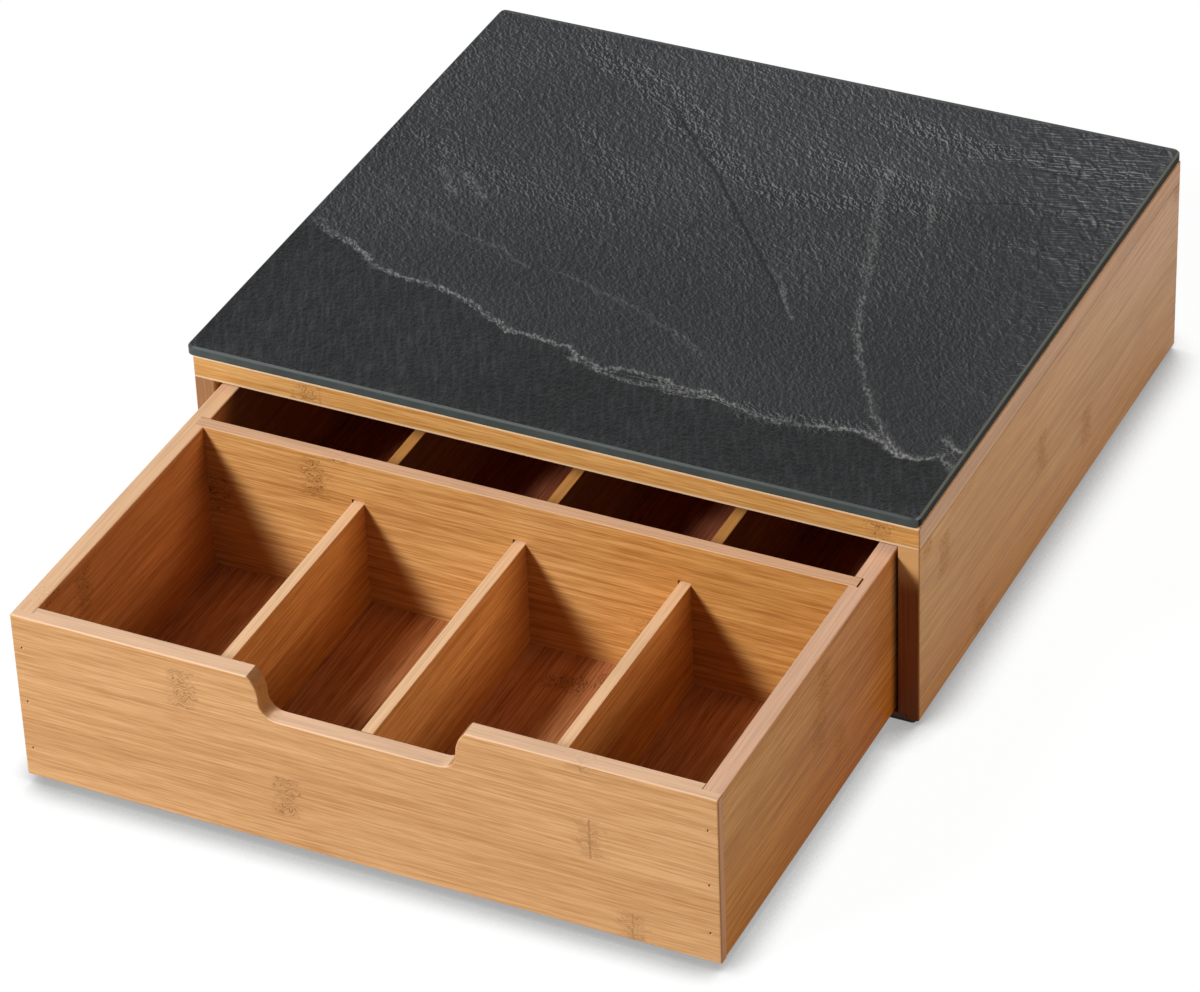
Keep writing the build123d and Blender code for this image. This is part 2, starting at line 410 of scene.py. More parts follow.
@dataclass(frozen=True)
class Bamboo:
    """Laminated bamboo under a satin lacquer.

    The board is glued up from strips that lie side by side. Each strip has its own shade, long fibres,
    and knuckles that cross it.

    Attributes:
        name: The material's name.
        grain: The direction that the fibres run in.
        stack: The direction in which strip follows strip.
        seed: Makes the board's figure its own.
        tone: Its colours.
        strip_start: Where strip 0 begins along the stack.
        strip_width: The width of a strip.
        knuckle_spacing: The distance from knuckle to knuckle in a strip.
        knuckles: The knuckles whose place is known.
        sawn_sheen: The direction of the board's sanded narrow edges, if they show, which get painted sheen.
        edge_highlight: The painted highlight on the rounded corners between the faces, from 0 to 1.
        arris_highlight: The two levels through the board at which a painted highlight runs along its edges.
        painted_crown: The paler colour of the end grain at the board's top edge: painted light.
        painted_crown_reach: Where that painted light begins and where it is full, along the stack.
        gloss: How strongly the lacquer mirrors.
        reverse: The tint of the board's reverse face, which looks down the axis through the board.
        head: The tint of the board's upper edge.
        head_reach: Where the head's tint begins and where it is full, along the stack.
        foot: The tint of the board's lower edge.
        foot_reach: Where the foot's tint is full and where it ends, along the stack.
        far: The tint of the board's far end.
        far_reach: Where the far end's tint begins and where it is full, along the grain.
    """

    name: str
    grain: Axis
    stack: Axis
    seed: float
    tone: BambooTone = BambooTone()
    strip_start: float = -0.0013
    strip_width: float = 0.019
    knuckle_spacing: float = 0.27
    knuckles: tuple[Knuckle, ...] = ()
    sawn_sheen: Axis | None = None
    edge_highlight: float = 0.45
    arris_highlight: Span | None = None
    painted_crown: Colour | None = None
    painted_crown_reach: Span = (0.060, 0.076)
    gloss: float = 0.2
    reverse: Colour | None = None
    head: Colour | None = None
    head_reach: Span = (0.045, 0.082)
    foot: Colour | None = None
    foot_reach: Span = (0.012, 0.050)
    far: Colour | None = None
    far_reach: Span = (0.0, 0.20)

    def material(self) -> bpy.types.Material:
        """Builds the material.

        Returns:
            The finished material.
        """
        graph, material = Graph.of_material(self.name)
        place = self._place(graph)
        cloud, line, curliness = self._knuckle(graph, place)
        curls = graph.product(self._curls(graph, place), graph.product(cloud, curliness))
        wander = graph.noise(graph.join(graph.product(place.along, 9.0), graph.product(place.across, 30.0),
                                        self.seed), detail=1.0)
        sway = graph.math("SUBTRACT", wander, 0.5)
        bend = graph.weighted((0.002, sway), (0.005, graph.product(cloud, place.swirl)))
        bent = graph.math("ADD", place.across, bend)
        shift = graph.product(place.chances[1], 5.0)
        streaks = {layer: self._fibres(graph, place, bent, shift, layer)
                   for layer in (BROAD, MIDDLE, FINE, DASHES)}
        pores = graph.fade(streaks[DASHES], 0.60, 0.70)

        colour = self._strips(graph, place, streaks)
        colour = self._tints(graph, place, colour, graph.product(sway, 0.03))
        glue = graph.fade_size(place.within, *GLUE_LINE)
        colour = graph.mix(graph.weighted((0.13, glue), (0.20, pores)), colour, self.tone.knuckle)
        spot = graph.weighted((0.19, cloud), (0.60, line), (0.80, curls))
        colour = graph.mix(graph.math("MINIMUM", spot, 1.0), colour, self.tone.knuckle)
        colour = self._edges(graph, place, colour, streaks[FINE])

        roughness = graph.math("ADD", graph.weighted((0.20, streaks[MIDDLE]), (0.08, cloud)), 0.34)
        height = graph.weighted((1.0, streaks[FINE]), (0.6, streaks[DASHES]), (0.5, streaks[MIDDLE]),
                                (-0.5, pores), (-0.8, curls), (-0.8, line))
        bump = graph.call("ShaderNodeBump", {"Height": height, "Strength": 0.5, "Distance": 0.00012})
        graph.surface({"Base Color": colour, "Roughness": roughness, "Normal": bump.outputs[0],
                       "Coat Weight": 0.03, "Coat Roughness": 0.25, "Specular IOR Level": self.gloss})
        return material

    @property
    def _depth(self) -> Axis:
        """The axis through the board."""
        return next(axis for axis in Axis if axis not in (self.grain, self.stack))

    def _place(self, graph: Graph) -> BoardPlace:
        """Finds where a point lies on the board.

        Args:
            graph: The material's graph.

        Returns:
            The place.
        """
        coordinates = graph.node("ShaderNodeTexCoord")
        point = coordinates.outputs["Object"]
        parts = graph.split(point)
        along, across, through = (parts[axis.value] for axis in (self.grain, self.stack, self._depth))
        turns = graph.math("DIVIDE", graph.math("SUBTRACT", across, self.strip_start), self.strip_width)
        strip = graph.math("FLOOR", turns)
        within = graph.math("SUBTRACT", graph.math("SUBTRACT", turns, strip), 0.5)
        chance = graph.call("ShaderNodeTexWhiteNoise", {"W": graph.math("ADD", strip, self.seed * 31.7)},
                            noise_dimensions="1D")
        swirl = graph.math("SUBTRACT", graph.noise(point, scale=330.0, detail=0.8), 0.5)
        return BoardPlace(point, graph.split(coordinates.outputs["Normal"]), along, across, through, strip,
                          within, graph.split(chance.outputs["Color"]), swirl)

    def _knuckle(self, graph: Graph, place: BoardPlace) -> tuple[Feed, Feed, Feed]:
        """Finds how near a point is to its strip's knuckle.

        Args:
            graph: The material's graph.
            place: The place on the board.

        Returns:
            The knuckle's soft patch, its thin line and the share of curls in it, each from 0 to 1.
        """
        centre = graph.product(place.chances[0], self.knuckle_spacing)
        kind = graph.product(place.chances[2], 0.6)
        for knuckle in self.knuckles:
            here = graph.math("COMPARE", place.strip, float(knuckle.strip), 0.5)
            centre = graph.math("MULTIPLY_ADD", here, graph.math("SUBTRACT", knuckle.place, centre), centre)
            kind = graph.math("MULTIPLY_ADD", here, graph.math("SUBTRACT", knuckle.line, kind), kind)
        half = self.knuckle_spacing / 2
        distance = graph.math("WRAP", graph.math("SUBTRACT", place.along, centre), half, -half)
        ragged = graph.math("MULTIPLY_ADD", place.swirl, 0.010, distance)
        inside = graph.fade_size(place.within, *KNUCKLE_SIDES)
        patch = graph.product(graph.fade_size(ragged, *KNUCKLE_PATCH), inside)
        wavering = graph.math("MULTIPLY_ADD", place.swirl, 0.0012, distance)
        thin = graph.product(graph.fade_size(wavering, *KNUCKLE_LINE), inside)
        return patch, graph.product(thin, kind), graph.math("SUBTRACT", 1.0, kind)

    @staticmethod
    def _curls(graph: Graph, place: BoardPlace) -> bpy.types.NodeSocket:
        """The curled lines of fibre bundles that turn aside at a knuckle.

        Args:
            graph: The material's graph.
            place: The place on the board.

        Returns:
            The lines, from 0 to 1.
        """
        swing, pitch = 0.0085, 0.0019
        course = graph.math("DIVIDE", graph.math("MULTIPLY_ADD", place.swirl, swing, place.across), pitch)
        wave = graph.math("PINGPONG", course, 0.5)
        broken = graph.fade(graph.noise(place.point, scale=620.0, detail=1.0), 0.34, 0.52)
        return graph.product(graph.fade(wave, 0.19, 0.04), broken)

    def _fibres(self, graph: Graph, place: BoardPlace, across: Feed, shift: Feed,
                layer: Fibres) -> bpy.types.NodeSocket:
        """Draws one layer of fibres.

        Args:
            graph: The material's graph.
            place: The place on the board.
            across: The place across the strips, bent as the fibres bend.
            shift: What sets one strip's fibres apart from the next's.
            layer: The layer.

        Returns:
            The streaks, about 0.5.
        """
        vector = graph.join(graph.math("MULTIPLY_ADD", place.along, layer.length, shift),
                            graph.product(across, layer.width),
                            graph.math("MULTIPLY_ADD", place.through, layer.width, self.seed))
        return graph.noise(vector, detail=layer.detail)

    def _strips(self, graph: Graph, place: BoardPlace,
                streaks: dict[Fibres, bpy.types.NodeSocket]) -> bpy.types.NodeSocket:
        """Colours the strips, each with its own shade.

        Args:
            graph: The material's graph.
            place: The place on the board.
            streaks: The layers of fibres.

        Returns:
            The colour of the bare strips.
        """
        shade = graph.weighted(*((layer.weight, streak) for layer, streak in streaks.items()))
        stops = [(0.40, self.tone.dark), (0.50, self.tone.middle), (0.59, self.tone.light)]
        colour = graph.ramp(shade, stops)
        drift = graph.noise(graph.join(graph.product(place.along, 6.0), graph.product(place.strip, 7.7),
                                       self.seed), detail=1.0)
        warmth = graph.weighted((0.7, place.chances[2]), (1.1, drift))
        strip_shade = graph.join(*(graph.math("MULTIPLY_ADD", warmth, *shares) for shares in STRIP_SHADES))
        return graph.mix(1.0, colour, strip_shade, "MULTIPLY")

    def _tints(self, graph: Graph, place: BoardPlace, colour: Feed, uneven: Feed) -> bpy.types.NodeSocket:
        """Tints the board's head, foot, far end and reverse, where they are given.

        Args:
            graph: The material's graph.
            place: The place on the board.
            colour: The colour of the strips.
            uneven: How far the foot's border wanders.

        Returns:
            The tinted colour.
        """
        if self.head is not None:
            colour = graph.tinted(graph.fade(place.across, *self.head_reach), colour, self.head)
        if self.foot is not None:
            full, end = self.foot_reach
            low = graph.fade(graph.math("ADD", place.across, uneven), end, full)
            colour = graph.tinted(low, colour, self.foot)
        if self.far is not None:
            colour = graph.tinted(graph.fade(place.along, *self.far_reach), colour, self.far)
        if self.reverse is not None:
            turned = graph.fade(place.facing[self._depth.value], *REVERSE_FACE)
            colour = graph.tinted(turned, colour, self.reverse)
        return colour

    def _edges(self, graph: Graph, place: BoardPlace, colour: Feed, fine: Feed) -> bpy.types.NodeSocket:
        """Colours the narrow edges with painted sheen, the end grain, and the painted highlights on corners
        and arrises.

        Args:
            graph: The material's graph.
            place: The place on the board.
            colour: The colour of the board's faces.
            fine: The layer of fine fibres.

        Returns:
            The colour of the whole board.
        """
        # Painted sheen: the narrow edges get the tone's pale edge colour.
        if self.sawn_sheen is not None:
            edge = graph.fade_size(place.facing[self.sawn_sheen.value], *SAWN_FACE)
            sanded_sheen = graph.mix(graph.fade(fine, 0.35, 0.70), self.tone.sawn_sheen, scaled(self.tone.sawn_sheen, 0.84))
            colour = graph.mix(edge, colour, sanded_sheen)
        down_grain = place.facing[self.grain.value]
        colour = graph.mix(graph.fade_size(down_grain, *END_FACE), colour, self._end_grain(graph, place))
        # Painted highlight: the rounded corners turn pale, and knuckle brown where they meet end grain.
        x, y, z = (graph.math("ABSOLUTE", share) for share in place.facing)
        squareness = graph.math("MAXIMUM", graph.math("MAXIMUM", x, y), z)
        at_end = graph.fade_size(down_grain, *HIGHLIGHT_END)
        colour = graph.mix(graph.product(graph.fade(squareness, *HIGHLIGHT_CORNER), self.edge_highlight), colour,
                           graph.mix(at_end, self.tone.sawn_sheen, self.tone.knuckle))
        if self.arris_highlight is None:
            return colour
        # Painted highlight: pale bands along the arrises at the two given levels, weaker on the end grain.
        bands = (graph.fade(place.through, *(level + reach for reach in reaches))
                 for level, reaches in zip(self.arris_highlight, (ARRIS_HIGHLIGHT_UP, ARRIS_HIGHLIGHT_DOWN)))
        highlight_band = graph.product(graph.math("MAXIMUM", *bands), graph.math("MULTIPLY_ADD", at_end, -0.85, 0.85))
        return graph.mix(highlight_band, colour, self.tone.sawn_sheen)

    def _end_grain(self, graph: Graph, place: BoardPlace) -> bpy.types.NodeSocket:
        """Colours the cut ends, where the fibre bundles show as dots in a streaky ground.

        Args:
            graph: The material's graph.
            place: The place on the board.

        Returns:
            The colour of the ends.
        """
        cells = graph.call("ShaderNodeTexVoronoi", {"Vector": place.point, "Scale": 1100.0})
        dots = graph.fade(cells.outputs["Distance"], 0.25, 0.05)
        runs = tuple(14.0 if axis is self.stack else 900.0 for axis in Axis)
        streaks = graph.noise(graph.vector("MULTIPLY", place.point, runs), detail=2.0)
        colour = graph.mix(graph.fade(streaks, 0.62, 0.40), self.tone.end, scaled(self.tone.end, 0.80))
        if self.far is not None:
            colour = graph.mix(graph.fade(place.along, *self.far_reach), colour, self.tone.dark)
        # Painted light: the end grain turns paler towards the board's top edge.
        if self.painted_crown is not None:
            colour = graph.mix(graph.fade(place.across, *self.painted_crown_reach), colour, self.painted_crown)
        return graph.mix(graph.product(dots, 0.35), colour, self.tone.knuckle)


@dataclass(frozen=True)
class Slate:
    """The slate picture and relief of the glass plate's face.

    It reads values that the plate's mesh holds, in millimetres: the distance to the nearest vein, crest
    and scratch, with a share beside each that says where it counts, and the signed distance to the main
    vein and to the fold, which part the face into its tones.

    Attributes:
        name: The material's name.
        hollow: The hollows of the stone.
        stone: Its main colour.
        raised: Its raised grain.
        glint: The brightest specks.
        vein: The pale veins.
        light_step: How far the relief is shifted to tell its lit slopes from its shaded ones.
        drip_turn: The turn of the drips and flecks from Y, in radians.
        pebble_turn: The turn of the pebbles from Y, in radians.
        ripple_turn: The turn of the ripples from Y, in radians.
        back_margin: Where the pale rim of the back edge begins and where it is full, along Y.
    """

    name: str = "slate_face"
    hollow: Colour = (0.0085, 0.0102, 0.0118)
    stone: Colour = (0.0255, 0.0285, 0.0315)
    raised: Colour = (0.068, 0.074, 0.080)
    glint: Colour = (0.17, 0.18, 0.187)
    vein: Colour = (0.29, 0.305, 0.31)
    light_step: tuple[float, float, float] = (-0.00036, -0.00042, 0.0)
    drip_turn: float = 0.455
    pebble_turn: float = 0.66
    ripple_turn: float = -1.25
    back_margin: Span = (0.2200, 0.2212)

    def material(self) -> bpy.types.Material:
        """Builds the material.

        Returns:
            The finished material.
        """
        graph, material = Graph.of_material(self.name)
        point = graph.node("ShaderNodeTexCoord").outputs["Object"]
        patches = graph.noise(point, scale=13.0, detail=3.0)
        grain = graph.noise(point, scale=900.0, detail=2.0)
        layered = self._layered(graph, point, patches)
        relief = self._relief(graph, point, layered)
        lower = self._relief(graph, graph.vector("ADD", point, self.light_step), layered)
        slope = graph.math("SUBTRACT", relief, lower)
        colour = self._stone(graph, point, (patches, grain, layered), slope)

        jagged = self._jagged(graph, point)
        pale = self._veins(graph, point, patches, jagged)
        colour = graph.mix(pale, colour, self.vein)
        colour, bright = self._crests(graph, colour, patches, slope, jagged)
        colour, groove = self._scratches(graph, colour, jagged)
        _, y, _ = graph.split(point)
        margin = graph.product(graph.fade(y, *self.back_margin), 0.8)
        colour = graph.mix(margin, colour, scaled(self.glint, 0.62))

        height = graph.weighted((1.0, relief), (0.25, pale), (0.35, bright), (-0.5, groove), (0.12, grain))
        bump = graph.call("ShaderNodeBump", {"Height": height, "Strength": 1.0, "Distance": 0.0013})
        roughness = graph.math("MULTIPLY_ADD", relief, 0.25, 0.36)
        graph.surface({"Base Color": colour, "Roughness": roughness, "Normal": bump.outputs[0],
                       "Specular IOR Level": 0.12})
        return material

    def _stone(self, graph: Graph, point: Feed, noises: tuple[Feed, Feed, Feed],
               slope: Feed) -> bpy.types.NodeSocket:
        """Colours the bare stone: dark and smooth in front of the main vein, paler and rougher behind it.

        Args:
            graph: The material's graph.
            point: The place.
            noises: The broad patches, the fine grain, and where the stone is layered.
            slope: How far the relief rises towards the light.

        Returns:
            The colour.
        """
        patches, grain, layered = noises
        _, y, _ = graph.split(point)
        behind_vein = graph.fade(self._attribute(graph, "shelf"), -3.0, 3.0)
        strength = graph.weighted((0.5, patches), (2.9, self._attribute(graph, "crest_near")),
                                  (0.78, graph.fade(y, -0.03, 0.12)), (0.54, behind_vein), (1.1, layered))
        emboss = graph.product(slope, graph.math("ADD", strength, 0.05))
        drips = graph.noise(self._turned(graph, point, self.drip_turn, 9.0), scale=560.0, detail=2.0)
        drip_tone = graph.product(graph.math("SUBTRACT", drips, 0.5),
                                  graph.math("SUBTRACT", 1.0, behind_vein))
        tone = graph.weighted((1.18, emboss), (0.16, grain), (0.16, patches), (0.66, drip_tone), (1.0, 0.34))
        colour = graph.ramp(tone, [(0.26, self.hollow), (0.49, self.stone), (0.66, self.raised),
                                   (0.92, self.glint)])
        fold = graph.math("MULTIPLY_ADD", patches, 30.0, self._attribute(graph, "fold"))
        lift = graph.weighted((0.44, behind_vein), (0.36, graph.fade(fold, 5.0, 40.0)),
                              (0.33, graph.fade(y, 0.0, 0.22)), (0.25, patches))
        lift = graph.math("ADD", lift, 0.32)
        return graph.mix(1.0, colour, graph.join(lift, lift, lift), "MULTIPLY")

    def _relief(self, graph: Graph, point: Feed, layered: Feed) -> bpy.types.NodeSocket:
        """The height of the hammered stone.

        Args:
            graph: The material's graph.
            point: The place.
            layered: 1 where the stone splits in thin layers, 0 where it is pebbled.

        Returns:
            The height, about 0.5.
        """
        sweep = self._turned(graph, point, self.pebble_turn, 1.9)
        pebbles = graph.noise(sweep, scale=800.0, detail=1.0, roughness=0.5, distortion=0.6)
        ripples = graph.noise(self._turned(graph, point, self.ripple_turn, 5.0), scale=640.0, detail=1.0,
                              distortion=0.5)
        crumbs = graph.noise(sweep, scale=260.0, detail=1.5, distortion=0.8)
        fine = graph.math("MULTIPLY_ADD", layered, graph.math("SUBTRACT", ripples, pebbles), pebbles)
        return graph.weighted((0.60, fine), (0.45, crumbs))

    @staticmethod
    def _layered(graph: Graph, point: Feed, patches: Feed) -> bpy.types.NodeSocket:
        """Tells the layered corner of the stone from the pebbled rest.

        Args:
            graph: The material's graph.
            point: The place.
            patches: Broad noise that makes the border ragged.

        Returns:
            1 in the layered part, 0 outside it.
        """
        x, y, _ = graph.split(point)
        inward = graph.weighted((1.0, x), (0.45, y), (0.08, patches))
        return graph.fade(inward, 0.165, 0.240)

    @staticmethod
    def _jagged(graph: Graph, point: Feed) -> bpy.types.NodeSocket:
        """How far a vein strays from its course.

        Args:
            graph: The material's graph.
            point: The place.

        Returns:
            The distance, in millimetres.
        """
        swings = ((5.0, 130.0, 2.0), (2.8, 420.0, 1.0), (2.2, 1100.0, 1.0))
        return graph.weighted(*(
            (reach, graph.math("SUBTRACT", graph.noise(point, scale=scale, detail=detail), 0.5))
            for reach, scale, detail in swings))

    def _veins(self, graph: Graph, point: Feed, patches: Feed, jagged: Feed) -> bpy.types.NodeSocket:
        """The pale veins: a main strand, two weaker ones beside it, and a faint halo.

        Args:
            graph: The material's graph.
            point: The place.
            patches: Broad noise that parts the strands.
            jagged: How far a vein strays.

        Returns:
            Where the veins are, from 0 to 1.
        """
        vein = graph.math("ADD", self._attribute(graph, "vein"), jagged)
        apart = graph.math("MULTIPLY_ADD", patches, 5.5, -1.3)
        strand = graph.fade_size(vein, 0.66, 0.14)
        second_strand = graph.fade_size(graph.math("ADD", vein, apart), 0.55, 0.12)
        third_strand = graph.fade_size(graph.math("MULTIPLY_ADD", apart, -0.6, vein), 0.45, 0.10)
        halo = graph.fade_size(vein, 3.2, 0.3)
        broken = graph.fade(graph.noise(point, scale=85.0, detail=2.0), 0.36, 0.56)
        side_strands = graph.product(graph.math("MAXIMUM", second_strand, third_strand),
                                     graph.product(broken, 0.85))
        main_strand = graph.product(strand, graph.math("MULTIPLY_ADD", broken, 0.45, 0.55))
        strands = graph.math("MAXIMUM", main_strand, side_strands)
        x, _, _ = graph.split(point)
        halo_share = graph.math("MULTIPLY_ADD", graph.fade(x, 0.090, 0.125), 0.36, 0.15)
        flecks = self._turned(graph, point, self.drip_turn, 2.2)
        speckled = graph.fade(graph.noise(flecks, scale=900.0, detail=2.0), 0.38, 0.64)
        lines = graph.product(graph.math("MULTIPLY_ADD", halo, halo_share, strands),
                              graph.math("MULTIPLY_ADD", speckled, 0.95, 0.16))
        return graph.math("MULTIPLY", lines, self._attribute(graph, "vein_near"), clamp=True)

    def _crests(self, graph: Graph, colour: Feed, patches: Feed, slope: Feed,
                jagged: Feed) -> tuple[bpy.types.NodeSocket, bpy.types.NodeSocket]:
        """Draws the rough crests, bright where they face the light, with a dark furrow behind.

        Args:
            graph: The material's graph.
            colour: The colour so far.
            patches: Broad noise that breaks the furrow off.
            slope: How far the relief rises towards the light.
            jagged: How far a crest strays.

        Returns:
            The colour with the crests, and how bright they are, from 0 to 1.
        """
        near = self._attribute(graph, "crest_near")
        ragged = graph.math("ADD", self._attribute(graph, "crest"), graph.product(jagged, 1.4))
        bright = graph.product(graph.fade_size(ragged, 1.0, 0.2), near, graph.fade(slope, -0.02, 0.08))
        colour = graph.mix(graph.product(bright, 0.55), colour, self.glint)
        furrow = graph.fade_size(graph.math("ADD", ragged, 2.0), 1.1, 0.3)
        furrow = graph.product(furrow, near, graph.fade(patches, 0.35, 0.6))
        return graph.mix(graph.product(furrow, 0.75), colour, self.hollow), bright

    def _scratches(self, graph: Graph, colour: Feed,
                   jagged: Feed) -> tuple[bpy.types.NodeSocket, bpy.types.NodeSocket]:
        """Draws the dark scratches, each with a pale lip.

        Args:
            graph: The material's graph.
            colour: The colour so far.
            jagged: How far a vein strays, of which a scratch takes a third.

        Returns:
            The colour with the scratches, and how deep they are, from 0 to 1.
        """
        scratch = graph.math("MULTIPLY_ADD", jagged, 0.35, self._attribute(graph, "scratch"))
        near = self._attribute(graph, "scratch_near")
        lip = graph.fade_size(graph.math("SUBTRACT", scratch, 1.5), 0.8, 0.2)
        lip = graph.product(lip, near, graph.fade(jagged, -0.5, 0.9))
        colour = graph.mix(graph.product(lip, 0.5), colour, self.glint)
        groove = graph.product(graph.fade_size(scratch, 1.15, 0.35), near)
        return graph.mix(graph.product(groove, 0.92), colour, self.hollow), groove

    @staticmethod
    def _turned(graph: Graph, point: Feed, angle: float, stretch: float) -> bpy.types.NodeSocket:
        """Turns the place about Z and draws the texture out along its own Y.

        Args:
            graph: The material's graph.
            point: The place.
            angle: The turn, in radians.
            stretch: How far the texture is drawn out.

        Returns:
            The place to read the texture at.
        """
        node = graph.call("ShaderNodeMapping", {"Vector": point}, vector_type="TEXTURE")
        node.inputs["Rotation"].default_value = (0.0, 0.0, angle)
        node.inputs["Scale"].default_value = (1.0, stretch, 1.0)
        return node.outputs[0]

    @staticmethod
    def _attribute(graph: Graph, name: str) -> bpy.types.NodeSocket:
        """Reads a value of the mesh."""
        return graph.node("ShaderNodeAttribute", attribute_name=name).outputs["Fac"]


@dataclass(frozen=True)
class GlassRim:
    """The ground and polished rim of the dark glass plate.

    Attributes:
        name: The material's name.
        colour: The green-grey of the glass seen from its edge.
        right_wall_shade: How dark the wall on the right is, as a share of the colour: painted shade.
        bevel: How dark the bevel is, as a share of the colour.
        right_bevel_highlight: How pale the bevel on the right is, as a share of the colour: painted
            highlight.
    """

    name: str = "glass_rim"
    colour: Colour = (0.054, 0.068, 0.066)
    right_wall_shade: float = 0.22
    bevel: float = 0.76
    right_bevel_highlight: float = 2.6

    def material(self) -> bpy.types.Material:
        """Builds the material.

        Returns:
            The finished material.
        """
        graph, material = Graph.of_material(self.name)
        texture = graph.node("ShaderNodeTexCoord")
        point = texture.outputs["Object"]
        smear = graph.noise(point, scale=140.0, detail=3.0)
        lines = graph.noise(graph.vector("MULTIPLY", point, (60.0, 60.0, 3500.0)), detail=2.0)
        right, _, up = graph.split(texture.outputs["Normal"])
        on_right = graph.fade(right, 0.75, 0.95)
        on_bevel = graph.fade(up, 0.2, 0.6)
        on_right_bevel = graph.product(on_bevel, graph.fade(right, 0.3, 0.6))
        colour = graph.mix(graph.fade(smear, 0.35, 0.7), self.colour, scaled(self.colour, 1.2))
        # The darker wall on the right is painted shade, the paler bevel on the right painted highlight.
        for place, share in ((on_right, self.right_wall_shade), (on_bevel, self.bevel),
                             (on_right_bevel, self.right_bevel_highlight)):
            colour = graph.mix(place, colour, scaled(self.colour, share))
        bump = graph.call("ShaderNodeBump", {"Height": lines, "Strength": 0.15, "Distance": 0.00005})
        graph.surface({"Base Color": colour, "Roughness": graph.math("MULTIPLY_ADD", smear, 0.2, 0.25),
                       "Normal": bump.outputs[0], "IOR": 1.52,
                       "Specular IOR Level": graph.math("MULTIPLY_ADD", on_right, -0.14, 0.15)})
        return material


@dataclass(frozen=True)
class PlainFinish:
    """A finish for the small parts: one colour that varies a little, with a fine grain.

    Attributes:
        name: The material's name.
        colour: Its colour.
        roughness: Its roughness where it is smoothest.
        metallic: 1 for metal.
        scale: How fine its grain is, per metre.
        stretch: How far the grain is drawn out along each axis.
        relief: The height of the grain.
        transmission: How clear it is.
    """

    name: str
    colour: Colour
    roughness: float
    metallic: float = 0.0
    scale: float = 1500.0
    stretch: tuple[float, float, float] = (1.0, 1.0, 1.0)
    relief: float = 0.00005
    transmission: float = 0.0

    def material(self) -> bpy.types.Material:
        """Builds the material.

        Returns:
            The finished material.
        """
        graph, material = Graph.of_material(self.name)
        point = graph.node("ShaderNodeTexCoord").outputs["Object"]
        grain = graph.noise(graph.vector("MULTIPLY", point, self.stretch), scale=self.scale, detail=3.0)
        patches = graph.noise(point, scale=self.scale / 20, detail=2.0)
        tone = graph.weighted((0.6, grain), (0.4, patches))
        colour = graph.mix(graph.fade(tone, 0.3, 0.7), scaled(self.colour, 0.75), self.colour)
        roughness = graph.math("MULTIPLY_ADD", tone, 0.2, self.roughness)
        bump = graph.call("ShaderNodeBump", {"Height": grain, "Strength": 0.4, "Distance": self.relief})
        graph.surface({"Base Color": colour, "Roughness": roughness, "Metallic": self.metallic,
                       "Transmission Weight": self.transmission, "Normal": bump.outputs[0]})
        return material


def dress(node: str, material: bpy.types.Material) -> None:
    """Gives a CAD node a material in all its slots.

    Args:
        node: The node's name.
        material: The material.
    """
    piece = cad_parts[node]
    for slot in piece.material_slots:
        slot.material = material
    log.info("%s dressed as %s", node, material.name)


# How near two points of a shell have to be to become one, in metres.
MERGE_REACH = 0.000001

# A face whose normal points up by less than this is part of the plate's rim.
FLAT_ENOUGH = 0.9

# Keeps a length that is divided by from being 0.
NOT_ZERO = 0.0000001


@dataclass
class NodesPiece:
    """A piece that a geometry tree makes.

    Attributes:
        name: The piece's name.
        tree: The geometry tree.
    """

    name: str
    tree: bpy.types.NodeTree

    @classmethod
    def start(cls, name: str,
              inputs: dict[str, str]) -> tuple["NodesPiece", Graph, dict[str, bpy.types.NodeSocket]]:
        """Starts a tree with named inputs and one geometry output.

        Args:
            name: The piece's name.
            inputs: The type name of each input's socket.

        Returns:
            The piece, its graph, and the inputs' sockets inside the tree.
        """
        tree = bpy.data.node_groups.new(name, "GeometryNodeTree")
        for label, kind in inputs.items():
            tree.interface.new_socket(name=label, in_out="INPUT", socket_type=kind)
        tree.interface.new_socket(name="Geometry", in_out="OUTPUT", socket_type="NodeSocketGeometry")
        graph = Graph(tree)
        given = graph.node("NodeGroupInput")
        return cls(name, tree), graph, {label: given.outputs[label] for label in inputs}

    def finish(self, graph: Graph, geometry: bpy.types.NodeSocket) -> None:
        """Ends the tree in Realize Instances.

        Args:
            graph: The tree's graph.
            geometry: What the tree has made.
        """
        real = graph.call("GeometryNodeRealizeInstances", {"Geometry": geometry})
        output = graph.node("NodeGroupOutput")
        graph.feed(output.inputs["Geometry"], real.outputs[0])

    def make(self, values: dict[str, Feed]) -> bpy.types.Object:
        """Runs the tree and keeps its result as a plain mesh.

        Args:
            values: What each named input gets.

        Returns:
            The piece's object, with no modifier left on it.
        """
        piece = bpy.data.objects.new(self.name, bpy.data.meshes.new(self.name))
        bpy.context.scene.collection.objects.link(piece)
        modifier = piece.modifiers.new("nodes", "NODES")
        modifier.node_group = self.tree
        for item in self.tree.interface.items_tree:
            if item.in_out == "INPUT":
                modifier[item.identifier] = values[item.name]
        depsgraph = bpy.context.evaluated_depsgraph_get()
        mesh = bpy.data.meshes.new_from_object(piece.evaluated_get(depsgraph), depsgraph=depsgraph)
        piece.modifiers.clear()
        piece.data = mesh
        return piece


